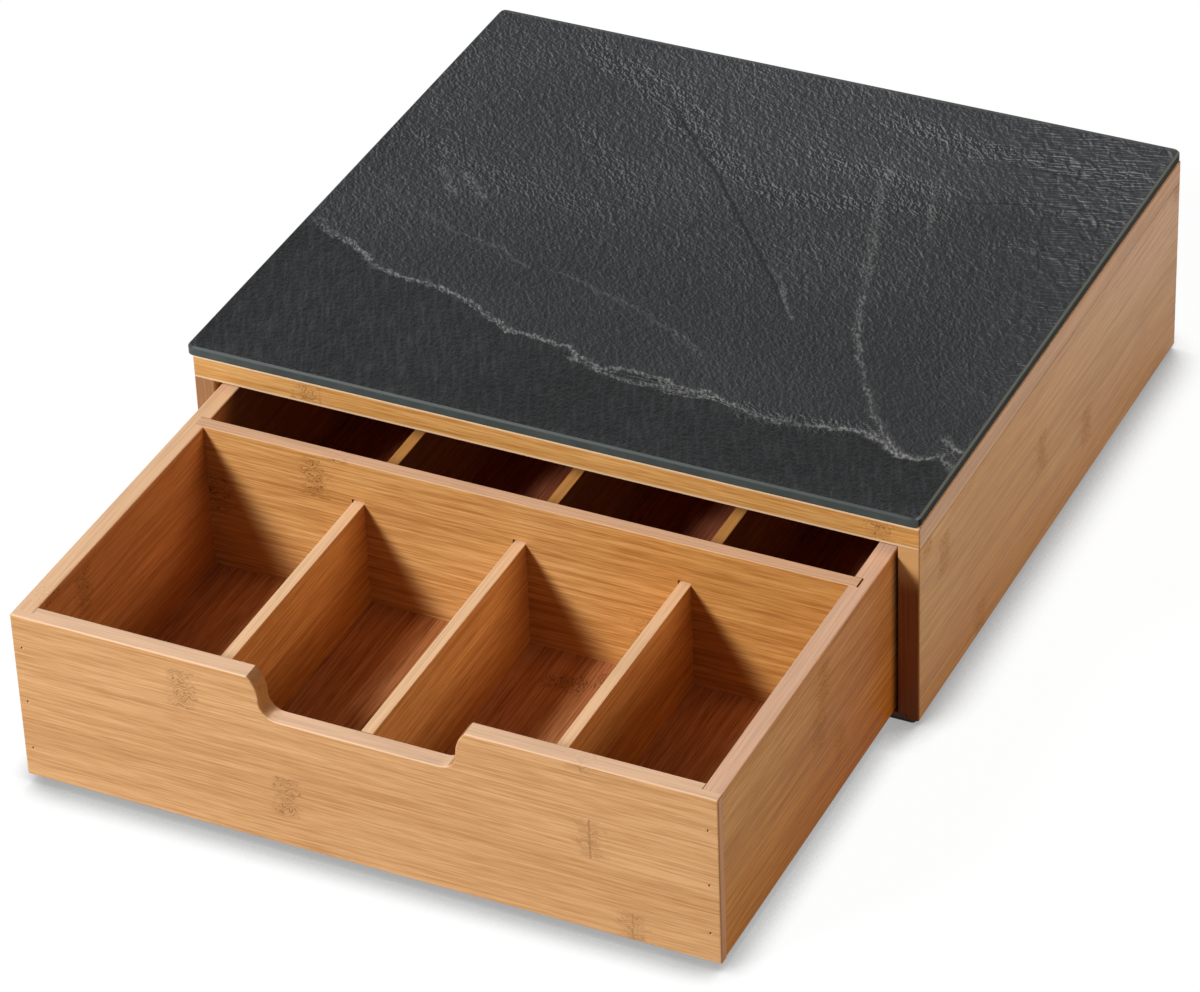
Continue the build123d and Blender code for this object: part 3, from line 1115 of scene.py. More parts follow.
def distance_to_path(points: np.ndarray,
                     path: tuple[Point, ...]) -> tuple[np.ndarray, np.ndarray, np.ndarray]:
    """Measures how far points lie from an open line of straight runs.

    Args:
        points: The points, one row of X and Y each.
        path: The line's corners.

    Returns:
        Each point's distance, its side as a sign, and its place along the line from 0 to 1.
    """
    corners = np.array(path)
    best = np.full(len(points), np.inf)
    side = np.ones(len(points))
    share = np.zeros(len(points))
    for number, (start, end) in enumerate(zip(corners[:-1], corners[1:])):
        run = end - start
        offset = points - start
        part = np.clip(offset @ run / (run @ run), 0.0, 1.0)
        gap = np.linalg.norm(offset - part[:, None] * run, axis=1)
        closer = gap < best
        best[closer] = gap[closer]
        side[closer] = np.sign(run[0] * offset[closer, 1] - run[1] * offset[closer, 0])
        share[closer] = (number + part[closer]) / (len(corners) - 1)
    return best, side, share


@dataclass(frozen=True)
class Crack:
    """A vein, crest or scratch of the slate.

    Attributes:
        path: Its corners on the plate, as X and Y in millimetres.
        strength: How plain it is, from 0 to 1.
    """

    path: tuple[Point, ...]
    strength: float = 1.0


@dataclass
class GlassPlate:
    """The glass plate with its slate face.

    Attributes:
        node: The CAD node that it stands for.
        bevel: The width of the rim's bevel.
        corner: The radius of its corners, seen from above.
        spacing: The distance between the points of its face.
        relief: How deep the face is embossed.
        flat_margin: The width over which the relief fades out towards the rim.
        shelf_step: How much lower the face lies in front of the main vein.
        fold_step: How much lower it lies in front of the fold.
        scratch_depth: The depth of a scratch.
        sharp_angle: The angle from which an edge is drawn sharp, in degrees.
        shelf: The main vein, which also bounds the darker front of the face.
        fold: The line where the paler back of the face begins.
        veins: The other pale veins.
        crests: The rough crests.
        scratches: The dark scratches.
    """

    node: str = "glass_top_plate"
    bevel: float = 0.0008
    corner: float = 0.003
    spacing: float = 0.00098
    relief: float = 0.0004
    flat_margin: float = 0.004
    shelf_step: float = 0.00010
    fold_step: float = 0.00008
    scratch_depth: float = 0.00016
    sharp_angle: float = 20.0
    shelf: Crack = Crack((
        (-155, 45), (-143, 36), (-130, 31), (-114, 20), (-101, 16), (-82, 15), (-66, 9.6), (-56, 3.2),
        (-44, -2), (-30, -3), (-18, -4), (-10, -10), (1, -12.5), (15, -10), (28, -11), (38, -14.5),
        (47, -13), (58, -17), (70, -20.5), (82, -20), (96, -17.5), (110, -14.5), (120, -18), (130, -24),
        (138, -24), (146, -18), (155, -29)))
    fold: Crack = Crack((
        (-160, 222), (-104, 209), (-74, 190), (-48, 168), (-20, 148), (0, 134), (18, 128), (40, 132),
        (60, 141), (85, 140), (120, 150), (160, 160)))
    veins: tuple[Crack, ...] = (
        Crack(((49, 174), (51.5, 152), (58, 129), (69, 94), (78, 64), (87, 39), (100, 16.6), (109, 2),
               (119, -12), (130, -23)), 0.56),
        Crack(((69, 167), (75, 146), (84, 120)), 0.34),
        Crack(((-139, 76), (-118, 64), (-96, 54), (-73, 51), (-53, 39)), 0.22),
        Crack(((-49, 43), (-29, 39), (0, 29), (20, 19), (40, 6)), 0.22),
        Crack(((-11, -12), (11, -17.5), (26, -16), (40, -17), (51, -15)), 0.55),
        Crack(((-123, 97), (-116, 89), (-105, 77)), 0.75),
        Crack(((-112, 96), (-106, 93), (-101, 87), (-94, 81)), 0.75),
        Crack(((142, -7), (153, -14)), 0.6),
        Crack(((37, 76), (49, 57), (57, 46)), 0.55),
    )
    crests: tuple[Crack, ...] = (
        Crack(((-108, 213), (-98, 200), (-74, 190), (-48, 168), (-20, 148), (0, 134)), 1.0),
        Crack(((-92, 205), (-60, 186), (-34, 170)), 0.7),
        Crack(((0, 134), (18, 128), (40, 132), (60, 141), (85, 140)), 0.75),
        Crack(((31, 201), (54, 197), (83, 193), (110, 193), (153, 193)), 1.0),
        Crack(((54, 192), (79, 189), (91, 195), (112, 196)), 0.7),
        Crack(((20, 160), (48, 158), (80, 155)), 0.5),
        Crack(((105, 160), (130, 158), (153, 160)), 0.5),
        Crack(((110, 130), (153, 128)), 0.4),
        Crack(((-150, 118), (-120, 103), (-84, 96), (-40, 90)), 0.4),
        Crack(((-88, 150), (-60, 128), (-30, 100)), 0.3),
        Crack(((58, -17), (70, -20), (82, -20), (96, -17), (110, -14)), 0.8),
    )
    scratches: tuple[Crack, ...] = (
        Crack(((-60, 184), (-34, 154), (-14, 133), (3, 112), (20, 91), (37, 71), (57, 44)), 0.9),
        Crack(((85, 150), (112, 160), (153, 168)), 0.5),
        Crack(((90, 185), (120, 186), (150, 184)), 0.5),
    )

    def build(self) -> bpy.types.Object:
        """Builds the plate in the place of its CAD node.

        Returns:
            The plate.
        """
        low, high = (Vector(corner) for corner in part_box(self.node))
        size = high - low
        piece, graph, given = NodesPiece.start("slate_glass_plate", {
            "Width": "NodeSocketFloat", "Depth": "NodeSocketFloat", "Thickness": "NodeSocketFloat",
            "Bevel": "NodeSocketFloat", "Corner": "NodeSocketFloat", "Relief": "NodeSocketFloat",
            "Margin": "NodeSocketFloat", "Columns": "NodeSocketInt", "Rows": "NodeSocketInt",
            "Centre": "NodeSocketVector", "Face": "NodeSocketMaterial", "Rim": "NodeSocketMaterial"})
        piece.finish(graph, self._tree(graph, given))
        centre = ((low.x + high.x) / 2, (low.y + high.y) / 2, low.z)
        plate = piece.make({
            "Width": size.x, "Depth": size.y, "Thickness": size.z, "Bevel": self.bevel,
            "Corner": self.corner, "Relief": self.relief, "Margin": self.flat_margin,
            "Columns": round(size.x / self.spacing), "Rows": round(size.y / self.spacing),
            "Centre": centre, "Face": Slate().material(), "Rim": GlassRim().material()})
        self._mark(plate.data)
        plate.data.set_sharp_from_angle(angle=math.radians(self.sharp_angle))
        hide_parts(self.node)
        log.info("glass plate built with %d faces", len(plate.data.polygons))
        return plate

    def _tree(self, graph: Graph, given: dict[str, bpy.types.NodeSocket]) -> bpy.types.NodeSocket:
        """Lays out the plate's geometry tree.

        Args:
            graph: The tree's graph.
            given: The tree's inputs.

        Returns:
            The finished plate.
        """
        width, depth = given["Width"], given["Depth"]
        face_width = graph.math("MULTIPLY_ADD", given["Bevel"], -2.0, width)
        face_depth = graph.math("MULTIPLY_ADD", given["Bevel"], -2.0, depth)
        grid = graph.call("GeometryNodeMeshGrid", {"Size X": face_width, "Size Y": face_depth,
                                                   "Vertices X": given["Columns"],
                                                   "Vertices Y": given["Rows"]})
        faces = graph.call("GeometryNodeSetMaterial", {"Geometry": grid.outputs["Mesh"],
                                                       "Material": given["Face"]}).outputs[0]
        place = graph.node("GeometryNodeInputPosition").outputs[0]
        x, y, _ = graph.split(place)
        embossed = graph.join(x, y, self._face_height(graph, given, place))
        top = graph.call("GeometryNodeSetPosition", {"Geometry": faces, "Position": embossed}).outputs[0]
        edge_faces = graph.node("GeometryNodeInputMeshEdgeNeighbors").outputs["Face Count"]
        border = graph.call("FunctionNodeCompare", {}, data_type="INT", operation="EQUAL")
        graph.feed(border.inputs[2], edge_faces)
        border.inputs[3].default_value = 1
        bevel = graph.call("GeometryNodeExtrudeMesh", {"Mesh": top, "Selection": border.outputs[0],
                                                       "Offset Scale": 0.0}, mode="EDGES")
        spread = graph.join(graph.math("DIVIDE", width, face_width), graph.math("DIVIDE", depth, face_depth),
                            1.0)
        drop = graph.join(0.0, 0.0, graph.product(given["Bevel"], -1.0))
        lowered = graph.vector("ADD", graph.vector("MULTIPLY", place, spread), drop)
        rim = graph.call("GeometryNodeSetPosition", {"Geometry": bevel.outputs["Mesh"],
                                                     "Selection": bevel.outputs["Top"], "Position": lowered})
        wall = graph.call("GeometryNodeExtrudeMesh", {"Mesh": rim.outputs[0],
                                                      "Selection": bevel.outputs["Top"],
                                                      "Offset Scale": 0.0}, mode="EDGES")
        foot = graph.call("GeometryNodeSetPosition", {"Geometry": wall.outputs["Mesh"],
                                                      "Selection": wall.outputs["Top"],
                                                      "Position": graph.join(x, y, 0.0)}).outputs[0]
        outline = graph.call("GeometryNodeMeshToCurve", {"Mesh": foot, "Selection": wall.outputs["Top"]})
        underside = graph.call("GeometryNodeFillCurve", {"Curve": outline.outputs[0]})
        joined = graph.node("GeometryNodeJoinGeometry")
        graph.feed(joined.inputs[0], underside.outputs[0])
        graph.feed(joined.inputs[0], foot)
        closed = graph.call("GeometryNodeMergeByDistance", {"Geometry": joined.outputs[0],
                                                            "Distance": MERGE_REACH})
        rounded = self._round_corners(graph, given, closed.outputs[0])
        _, _, normal_up = graph.split(graph.node("GeometryNodeInputNormal").outputs[0])
        steep = graph.math("LESS_THAN", normal_up, FLAT_ENOUGH)
        dressed = graph.call("GeometryNodeSetMaterial", {"Geometry": rounded, "Selection": steep,
                                                         "Material": given["Rim"]}).outputs[0]
        smooth = graph.call("GeometryNodeSetShadeSmooth", {"Geometry": dressed}).outputs[0]
        moved = graph.call("GeometryNodeSetPosition", {"Geometry": smooth, "Offset": given["Centre"]})
        return moved.outputs[0]

    def _face_height(self, graph: Graph, given: dict[str, bpy.types.NodeSocket],
                     place: bpy.types.NodeSocket) -> bpy.types.NodeSocket:
        """Works out the height of the embossed face.

        Args:
            graph: The tree's graph.
            given: The tree's inputs.
            place: The position of each point.

        Returns:
            The height above the plate's underside.
        """
        x, y, _ = graph.split(place)
        skewed = graph.join(graph.math("MULTIPLY_ADD", y, 0.5, x), graph.math("MULTIPLY_ADD", x, -0.35, y),
                            0.37)
        broad = graph.noise(skewed, scale=38.0, detail=3.0, distortion=0.6)
        small = graph.noise(skewed, scale=150.0, detail=3.0, roughness=0.6, distortion=0.4)
        layer = graph.math("ABSOLUTE", graph.math("SUBTRACT", broad, 0.5))
        hollow = graph.weighted((1.6, layer), (0.7, small))
        inset_x, inset_y = (
            graph.math("SUBTRACT", graph.product(size, 0.5), graph.math("ABSOLUTE", value))
            for value, size in ((x, given["Width"]), (y, given["Depth"])))
        inset = graph.math("SUBTRACT", graph.math("MINIMUM", inset_x, inset_y), given["Bevel"])
        inner = graph.math("DIVIDE", inset, given["Margin"], clamp=True)
        sunk = graph.product(hollow, inner, given["Relief"])
        return graph.math("SUBTRACT", given["Thickness"], sunk)

    def _round_corners(self, graph: Graph, given: dict[str, bpy.types.NodeSocket],
                       geometry: bpy.types.NodeSocket) -> bpy.types.NodeSocket:
        """Draws the square corners in to round ones.

        Args:
            graph: The tree's graph.
            given: The tree's inputs.
            geometry: The plate with square corners.

        Returns:
            The plate with round corners.
        """
        x, y, z = graph.split(graph.node("GeometryNodeInputPosition").outputs[0])
        parts = []
        for value, size in ((x, given["Width"]), (y, given["Depth"])):
            straight = graph.math("SUBTRACT", graph.product(size, 0.5), given["Corner"])
            over = graph.math("SUBTRACT", graph.math("ABSOLUTE", value), straight)
            parts.append((value, straight, graph.math("MAXIMUM", over, 0.0)))
        beyond_x, beyond_y = (beyond for _, _, beyond in parts)
        reach = graph.math("MAXIMUM", beyond_x, beyond_y)
        diagonal = graph.math("SQRT", graph.math("ADD", graph.math("POWER", beyond_x, 2.0),
                                                 graph.math("POWER", beyond_y, 2.0)))
        ratio = graph.math("DIVIDE", reach, graph.math("MAXIMUM", diagonal, NOT_ZERO))
        drawn = []
        for value, straight, beyond in parts:
            kept = graph.math("MINIMUM", graph.math("ABSOLUTE", value), straight)
            length = graph.math("MULTIPLY_ADD", beyond, ratio, kept)
            drawn.append(graph.product(graph.math("SIGN", value), length))
        return graph.call("GeometryNodeSetPosition", {"Geometry": geometry,
                                                      "Position": graph.join(*drawn, z)}).outputs[0]

    def _mark(self, mesh: bpy.types.Mesh) -> None:
        """Writes the slate's lines into the mesh for the finish to read, and steps the face along them.

        Args:
            mesh: The plate's mesh.
        """
        points = np.empty(len(mesh.vertices) * 3)
        mesh.vertices.foreach_get("co", points)
        points = points.reshape(-1, 3)
        flat = points[:, :2] * 1000
        values = {}
        for name, crack in (("shelf", self.shelf), ("fold", self.fold)):
            gap, side, _ = distance_to_path(flat, crack.path)
            values[name] = gap * side
        for name, cracks in (("vein", (self.shelf, *self.veins)), ("crest", self.crests),
                             ("scratch", self.scratches)):
            values[name], values[f"{name}_near"] = self._nearest(flat, cracks)
        for name, numbers in values.items():
            mesh.attributes.new(name, "FLOAT", "POINT").data.foreach_set("value", numbers)
        top = points[:, 2].max()
        face = np.clip((points[:, 2] - (top - 2 * self.relief)) / self.relief, 0.0, 1.0)
        off_centre = np.abs(flat - flat.mean(axis=0))
        inset = np.minimum(*(off_centre.max(axis=0) - off_centre).T)
        rim, shelf_slope, fold_slope, groove = 5.0, 2.0, 4.0, 1.2  # widths in millimetres
        face *= np.clip(inset / rim - 0.2, 0.0, 1.0)
        step = self.shelf_step * (1 - np.clip(values["shelf"] / shelf_slope + 0.5, 0, 1))
        step += self.fold_step * (1 - np.clip(values["fold"] / fold_slope + 0.5, 0, 1))
        hollow = np.clip(groove - np.abs(values["scratch"]), 0, 1)
        step += self.scratch_depth * values["scratch_near"] * hollow
        points[:, 2] -= face * step
        mesh.vertices.foreach_set("co", points.ravel())
        mesh.update()

    @staticmethod
    def _nearest(flat: np.ndarray, cracks: tuple[Crack, ...]) -> tuple[np.ndarray, np.ndarray]:
        """Measures how far points are from the nearest of some cracks.

        Args:
            flat: The points, one row of X and Y each, in millimetres.
            cracks: The cracks.

        Returns:
            The signed distances, and the shares of each crack there, from 0 to 1.
        """
        reach = 7.0  # millimetres
        taper, blunt = 0.10, 0.2
        signed = np.full(len(flat), reach)
        near = np.zeros(len(flat))
        for crack in cracks:
            gap, side, share = distance_to_path(flat, crack.path)
            ends = np.clip(np.minimum(share, 1 - share) / taper + blunt, 0.0, 1.0)
            weight = np.clip(2 * (1 - gap / reach), 0.0, 1.0) * crack.strength * ends
            near = np.maximum(near, weight)
            closer = gap < np.abs(signed)
            signed[closer] = (gap * side)[closer]
        return signed, near


@dataclass
class RubberFeet:
    """Four corner pads with a ribbed tread.

    Attributes:
        node: The CAD node that they stand for.
        length: A pad's size along X.
        width: A pad's size along Y.
        corner: The radius of its corners.
        rib_height: The height of the ribs below the pad.
        rib_width: The width of a rib.
        ribs: How many ribs a pad has.
        corner_points: How many straight runs make up a corner.
    """

    node: str = "rubber_feet"
    length: float = 0.014
    width: float = 0.012
    corner: float = 0.0015
    rib_height: float = 0.0005
    rib_width: float = 0.0011
    ribs: int = 5
    corner_points: int = 6

    def build(self) -> bpy.types.Object:
        """Builds the pads in the place of their CAD node.

        Returns:
            The pads as one piece.
        """
        low, high = (Vector(corner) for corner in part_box(self.node))
        piece, graph, given = NodesPiece.start("rubber_feet_ribbed", {
            "Length": "NodeSocketFloat", "Width": "NodeSocketFloat", "Height": "NodeSocketFloat",
            "Corner": "NodeSocketFloat", "Rib Height": "NodeSocketFloat", "Rib Width": "NodeSocketFloat",
            "Ribs": "NodeSocketInt", "Reach": "NodeSocketVector", "Centre": "NodeSocketVector",
            "Rubber": "NodeSocketMaterial"})
        piece.finish(graph, self._tree(graph, given))
        reach = (high.x - low.x - self.length, high.y - low.y - self.width, 0.0)
        feet = piece.make({
            "Length": self.length, "Width": self.width, "Height": high.z - low.z, "Corner": self.corner,
            "Rib Height": self.rib_height, "Rib Width": self.rib_width, "Ribs": self.ribs, "Reach": reach,
            "Centre": ((low.x + high.x) / 2, (low.y + high.y) / 2, low.z),
            "Rubber": PlainFinish("black_rubber", (0.022, 0.022, 0.023), 0.62, scale=2200.0).material()})
        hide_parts(self.node)
        log.info("rubber feet built with %d faces", len(feet.data.polygons))
        return feet

    def _tree(self, graph: Graph, given: dict[str, bpy.types.NodeSocket]) -> bpy.types.NodeSocket:
        """Lays out the feet's geometry tree.

        Args:
            graph: The tree's graph.
            given: The tree's inputs.

        Returns:
            The four pads.
        """
        outline = graph.call("GeometryNodeCurvePrimitiveQuadrilateral", {"Width": given["Length"],
                                                                         "Height": given["Width"]})
        fillet = graph.call("GeometryNodeFilletCurve", {"Curve": outline.outputs[0],
                                                        "Radius": given["Corner"],
                                                        "Count": self.corner_points}, mode="POLY")
        filled = graph.call("GeometryNodeFillCurve", {"Curve": fillet.outputs[0]})
        body_height = graph.math("SUBTRACT", given["Height"], given["Rib Height"])
        pad = graph.call("GeometryNodeExtrudeMesh", {"Mesh": filled.outputs[0], "Individual": False,
                                                     "Offset": (0.0, 0.0, 1.0), "Offset Scale": body_height})
        underside = graph.call("GeometryNodeFlipFaces", {"Mesh": filled.outputs[0]})
        shell = graph.node("GeometryNodeJoinGeometry")
        graph.feed(shell.inputs[0], pad.outputs["Mesh"])
        graph.feed(shell.inputs[0], underside.outputs[0])
        closed = graph.call("GeometryNodeMergeByDistance", {"Geometry": shell.outputs[0],
                                                            "Distance": MERGE_REACH})
        raised = graph.call("GeometryNodeSetPosition", {
            "Geometry": closed.outputs[0], "Offset": graph.join(0.0, 0.0, given["Rib Height"])})
        # A rib is a fifth taller than it shows, so that it stands into its pad.
        overlap = graph.product(given["Rib Height"], 1.2)
        rib_length = graph.math("SUBTRACT", given["Width"], given["Corner"])
        rib_size = graph.join(given["Rib Width"], rib_length, overlap)
        rib = graph.call("GeometryNodeMeshCube", {"Size": rib_size})
        # The row of ribs ends a little inside the pad's two ends.
        span = graph.math("SUBTRACT", given["Length"], graph.product(given["Rib Width"], 2.4))
        start = graph.join(graph.product(span, -0.5), 0.0, graph.product(overlap, 0.5))
        gap = graph.math("DIVIDE", span, graph.math("SUBTRACT", given["Ribs"], 1.0))
        row = graph.call("GeometryNodeMeshLine", {"Count": given["Ribs"], "Start Location": start,
                                                  "Offset": graph.join(gap, 0.0, 0.0)})
        tread = graph.call("GeometryNodeInstanceOnPoints", {"Points": row.outputs[0],
                                                            "Instance": rib.outputs["Mesh"]})
        foot = graph.node("GeometryNodeJoinGeometry")
        graph.feed(foot.inputs[0], raised.outputs[0])
        graph.feed(foot.inputs[0], tread.outputs[0])
        reach_x, reach_y, _ = graph.split(given["Reach"])
        corners = graph.call("GeometryNodeMeshGrid", {"Size X": reach_x, "Size Y": reach_y, "Vertices X": 2,
                                                      "Vertices Y": 2})
        placed = graph.call("GeometryNodeSetPosition", {"Geometry": corners.outputs["Mesh"],
                                                        "Offset": given["Centre"]})
        feet = graph.call("GeometryNodeInstanceOnPoints", {"Points": placed.outputs[0],
                                                           "Instance": foot.outputs[0]})
        real = graph.call("GeometryNodeRealizeInstances", {"Geometry": feet.outputs[0]})
        return graph.call("GeometryNodeSetMaterial", {"Geometry": real.outputs[0],
                                                      "Material": given["Rubber"]}).outputs[0]


@dataclass
class Case:
    """The box that stays still: boards, glass plate, pads, feet and brads.

    Attributes:
        body: The body that its pieces ride on.
        plate: The glass plate.
        feet: The rubber feet.
    """

    body: str
    plate: GlassPlate
    feet: RubberFeet

    def build(self) -> None:
        """Builds the case's own pieces and dresses its boards."""
        for piece in (self.plate.build(), self.feet.build()):
            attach(piece, self.body)
        for node, finish in self._boards().items():
            dress(node, finish.material())
        steel = PlainFinish("case_brad_steel", (0.42, 0.42, 0.43), 0.3, metallic=1.0,
                            stretch=(1.0, 1.0, 0.1))
        for node in ("top_brads", "bottom_brads"):
            dress(node, steel.material())
        pads = PlainFinish("clear_pads", (0.72, 0.75, 0.75), 0.15, scale=400.0, transmission=0.6)
        dress("glass_pads", pads.material())

    @staticmethod
    def _boards() -> dict[str, Bamboo]:
        """The finish of each board.

        Returns:
            Finishes by node name.
        """
        rail = BambooTone(light=(0.73, 0.41, 0.145), middle=(0.61, 0.30, 0.085), dark=(0.46, 0.20, 0.045),
                          sawn_sheen=(0.80, 0.58, 0.36), end=(0.55, 0.35, 0.195))
        # The right side's dark end colour is painted shade for its front end, which lies in the drawer's
        # shadow.
        side = BambooTone(light=(0.56, 0.338, 0.111), middle=(0.486, 0.272, 0.079),
                          dark=(0.395, 0.206, 0.054), end=(0.305, 0.098, 0.030))
        # The bottom panel's dark tone is painted shade for its front edge under the drawer.
        base = BambooTone(light=(0.22, 0.10, 0.04), middle=(0.17, 0.075, 0.028), dark=(0.12, 0.05, 0.018))
        return {
            "top_board": Bamboo("top_board_bamboo", Axis.X, Axis.Y, 1.0, rail, strip_start=-0.0695,
                                knuckle_spacing=0.242, knuckles=(Knuckle(0, -0.104, 0.1),),
                                arris_highlight=(0.0822, 0.0922)),
            "left_side_board": Bamboo("left_side_bamboo", Axis.Y, Axis.Z, 2.0),
            # Right side: the head and far tints are painted sheen, paler and bluer at the top and the back.
            # The foot tint is painted shade, darker and warmer at the bottom; the painted crown is painted
            # light.
            "right_side_board": Bamboo(
                "right_side_bamboo", Axis.Y, Axis.Z, 3.0, side, gloss=0.12, head=(1.05, 1.10, 1.35),
                foot=(0.90, 0.77, 0.58), far=(1.09, 1.30, 2.35), painted_crown=(0.62, 0.34, 0.135),
                knuckles=(Knuckle(0, 0.002), Knuckle(1, 0.117), Knuckle(2, 0.0666), Knuckle(3, -0.035))),
            "back_board": Bamboo("back_board_bamboo", Axis.X, Axis.Z, 4.0),
            "bottom_panel": Bamboo("bottom_panel_bamboo", Axis.X, Axis.Y, 5.0, base),
        }


@dataclass
class Drawer:
    """The sliding drawer with its two rows of compartments.

    Attributes:
        dividers: How many short dividers each row has.
    """

    dividers: int = 3

    def build(self) -> None:
        """Dresses the drawer's boards and brads."""
        for node, finish in self._boards().items():
            dress(node, finish.material())
        steel = PlainFinish("lacquered_brad_steel", (0.80, 0.48, 0.22), 0.5, stretch=(1.0, 0.1, 1.0))
        for node in ("front_corner_brads", "rear_corner_brads"):
            dress(node, steel.material())

    def _boards(self) -> dict[str, Bamboo]:
        """The finish of each board.

        Returns:
            Finishes by node name.
        """
        inner = BambooTone(light=(0.71, 0.365, 0.120), middle=(0.59, 0.270, 0.076),
                           dark=(0.43, 0.175, 0.043), knuckle=(0.24, 0.09, 0.025), sawn_sheen=(0.94, 0.61, 0.355))
        across = BambooTone(light=(0.72, 0.395, 0.145), middle=(0.59, 0.293, 0.089),
                            dark=(0.43, 0.187, 0.050), knuckle=(0.24, 0.09, 0.025), sawn_sheen=(0.77, 0.47, 0.29))
        face = BambooTone(end=(0.46, 0.215, 0.066))
        outer = BambooTone(light=(0.592, 0.356, 0.139), middle=(0.490, 0.265, 0.083),
                           dark=(0.382, 0.187, 0.052), sawn_sheen=(0.83, 0.53, 0.36))
        # A darker copy of the tone for the left side's inner wall, which lies in shade: painted shade.
        shaded_inner_tone = BambooTone(light=(0.58, 0.26, 0.085), middle=(0.49, 0.190, 0.056), dark=(0.36, 0.135, 0.036),
                          knuckle=(0.20, 0.07, 0.02), sawn_sheen=(0.88, 0.56, 0.33))
        floor = BambooTone(light=(0.70, 0.33, 0.14), middle=(0.56, 0.235, 0.09), dark=(0.36, 0.135, 0.045),
                           knuckle=(0.17, 0.06, 0.02))
        boards = {
            "drawer_front_board": Bamboo(
                "drawer_front_bamboo", Axis.X, Axis.Z, 6.0, face, sawn_sheen=Axis.Z,
                knuckles=(Knuckle(0, 0.109, 0.5), Knuckle(1, -0.0315), Knuckle(2, 0.093, 0.7),
                          Knuckle(3, -0.0722))),
            # Its reverse tint lifts the outer face back out of the painted shade.
            "drawer_left_side": Bamboo(
                "drawer_left_bamboo", Axis.Y, Axis.Z, 7.0, shaded_inner_tone, sawn_sheen=Axis.Z, reverse=(1.2, 1.5, 1.95),
                knuckles=(Knuckle(3, -0.1823),)),
            # The foot tint darkens and warms the outer side's lower part: painted shade.
            "drawer_right_side": Bamboo(
                "drawer_right_bamboo", Axis.Y, Axis.Z, 8.0, outer, sawn_sheen=Axis.Z, gloss=0.03,
                foot=(0.87, 0.66, 0.25), foot_reach=(0.0, 0.074), far=(0.90, 0.75, 0.74),
                far_reach=(-0.20, -0.07), knuckles=(Knuckle(3, -0.128),)),
            "drawer_back_board": Bamboo("drawer_back_bamboo", Axis.X, Axis.Z, 9.0, inner, sawn_sheen=Axis.Z),
            # The far tint dulls the floor behind the cross divider, in the rear bays: painted shade.
            "drawer_floor_panel": Bamboo(
                "drawer_floor_bamboo", Axis.Y, Axis.X, 10.0, floor, strip_start=0.0165, gloss=0.05,
                far=(0.90, 0.66, 0.85), far_reach=(-0.084, -0.078),
                knuckles=(Knuckle(0, -0.104), Knuckle(1, -0.098))),
            "cross_divider": Bamboo(
                "cross_divider_bamboo", Axis.X, Axis.Z, 11.0, across, sawn_sheen=Axis.Z, strip_start=0.0013,
                far=(0.99, 0.91, 0.77), far_reach=(0.0, 0.07),
                knuckles=(Knuckle(2, 0.138), Knuckle(3, -0.0882))),
        }
        boards.update(self._dividers(inner))
        return boards

    def _dividers(self, inner: BambooTone) -> dict[str, Bamboo]:
        """The finish of each short divider.

        Args:
            inner: The tone of the front row's outer dividers.

        Returns:
            Finishes by node name.
        """
        middle = BambooTone(light=(0.78, 0.445, 0.165), middle=(0.66, 0.335, 0.108),
                            dark=(0.49, 0.215, 0.060), knuckle=(0.24, 0.09, 0.025), sawn_sheen=(0.94, 0.61, 0.355))
        # The rear row's sanded tops are darker, as painted shade under the case's top board.
        rear = BambooTone(light=(0.55, 0.275, 0.105), middle=(0.46, 0.21, 0.075), dark=(0.34, 0.145, 0.05),
                          knuckle=(0.24, 0.09, 0.025), sawn_sheen=(0.69, 0.315, 0.085))
        knuckles = tuple(Knuckle(strip, 0.02) for strip in range(4))
        boards = {}
        for index in range(1, self.dividers + 1):
            front = middle if index == 2 else inner
            for row, first_seed, tone in (("front", 12.0, front), ("rear", 17.0, rear)):
                name = f"{row}_divider_{index}"
                boards[name] = Bamboo(f"{name}_bamboo", Axis.Y, Axis.Z, first_seed + index, tone,
                                      sawn_sheen=Axis.Z, knuckle_spacing=0.5, knuckles=knuckles)
        return boards


@dataclass
class Lamp:
    """A rectangular studio lamp.

    Attributes:
        name: The lamp's name.
        place: Where it hangs.
        target: What it points at.
        width: Its width.
        height: Its height.
        power: Its power in watts.
        colour: Its colour.
    """

    name: str
    place: tuple[float, float, float]
    target: tuple[float, float, float]
    width: float
    height: float
    power: float
    colour: Colour = (1.0, 1.0, 1.0)

    def hang(self) -> None:
        """Puts the lamp in the scene."""
        light = bpy.data.lights.new(self.name, "AREA")
        light.shape = "RECTANGLE"
        light.size = self.width
        light.size_y = self.height
        light.energy = self.power
        light.color = self.colour
        lamp = bpy.data.objects.new(self.name, light)
        lamp.location = self.place
        aim = Vector(self.target) - Vector(self.place)
        lamp.rotation_euler = aim.to_track_quat("-Z", "Y").to_euler()
        lamp.visible_camera = False
        bpy.context.scene.collection.objects.link(lamp)
        log.info("%s hung", self.name)


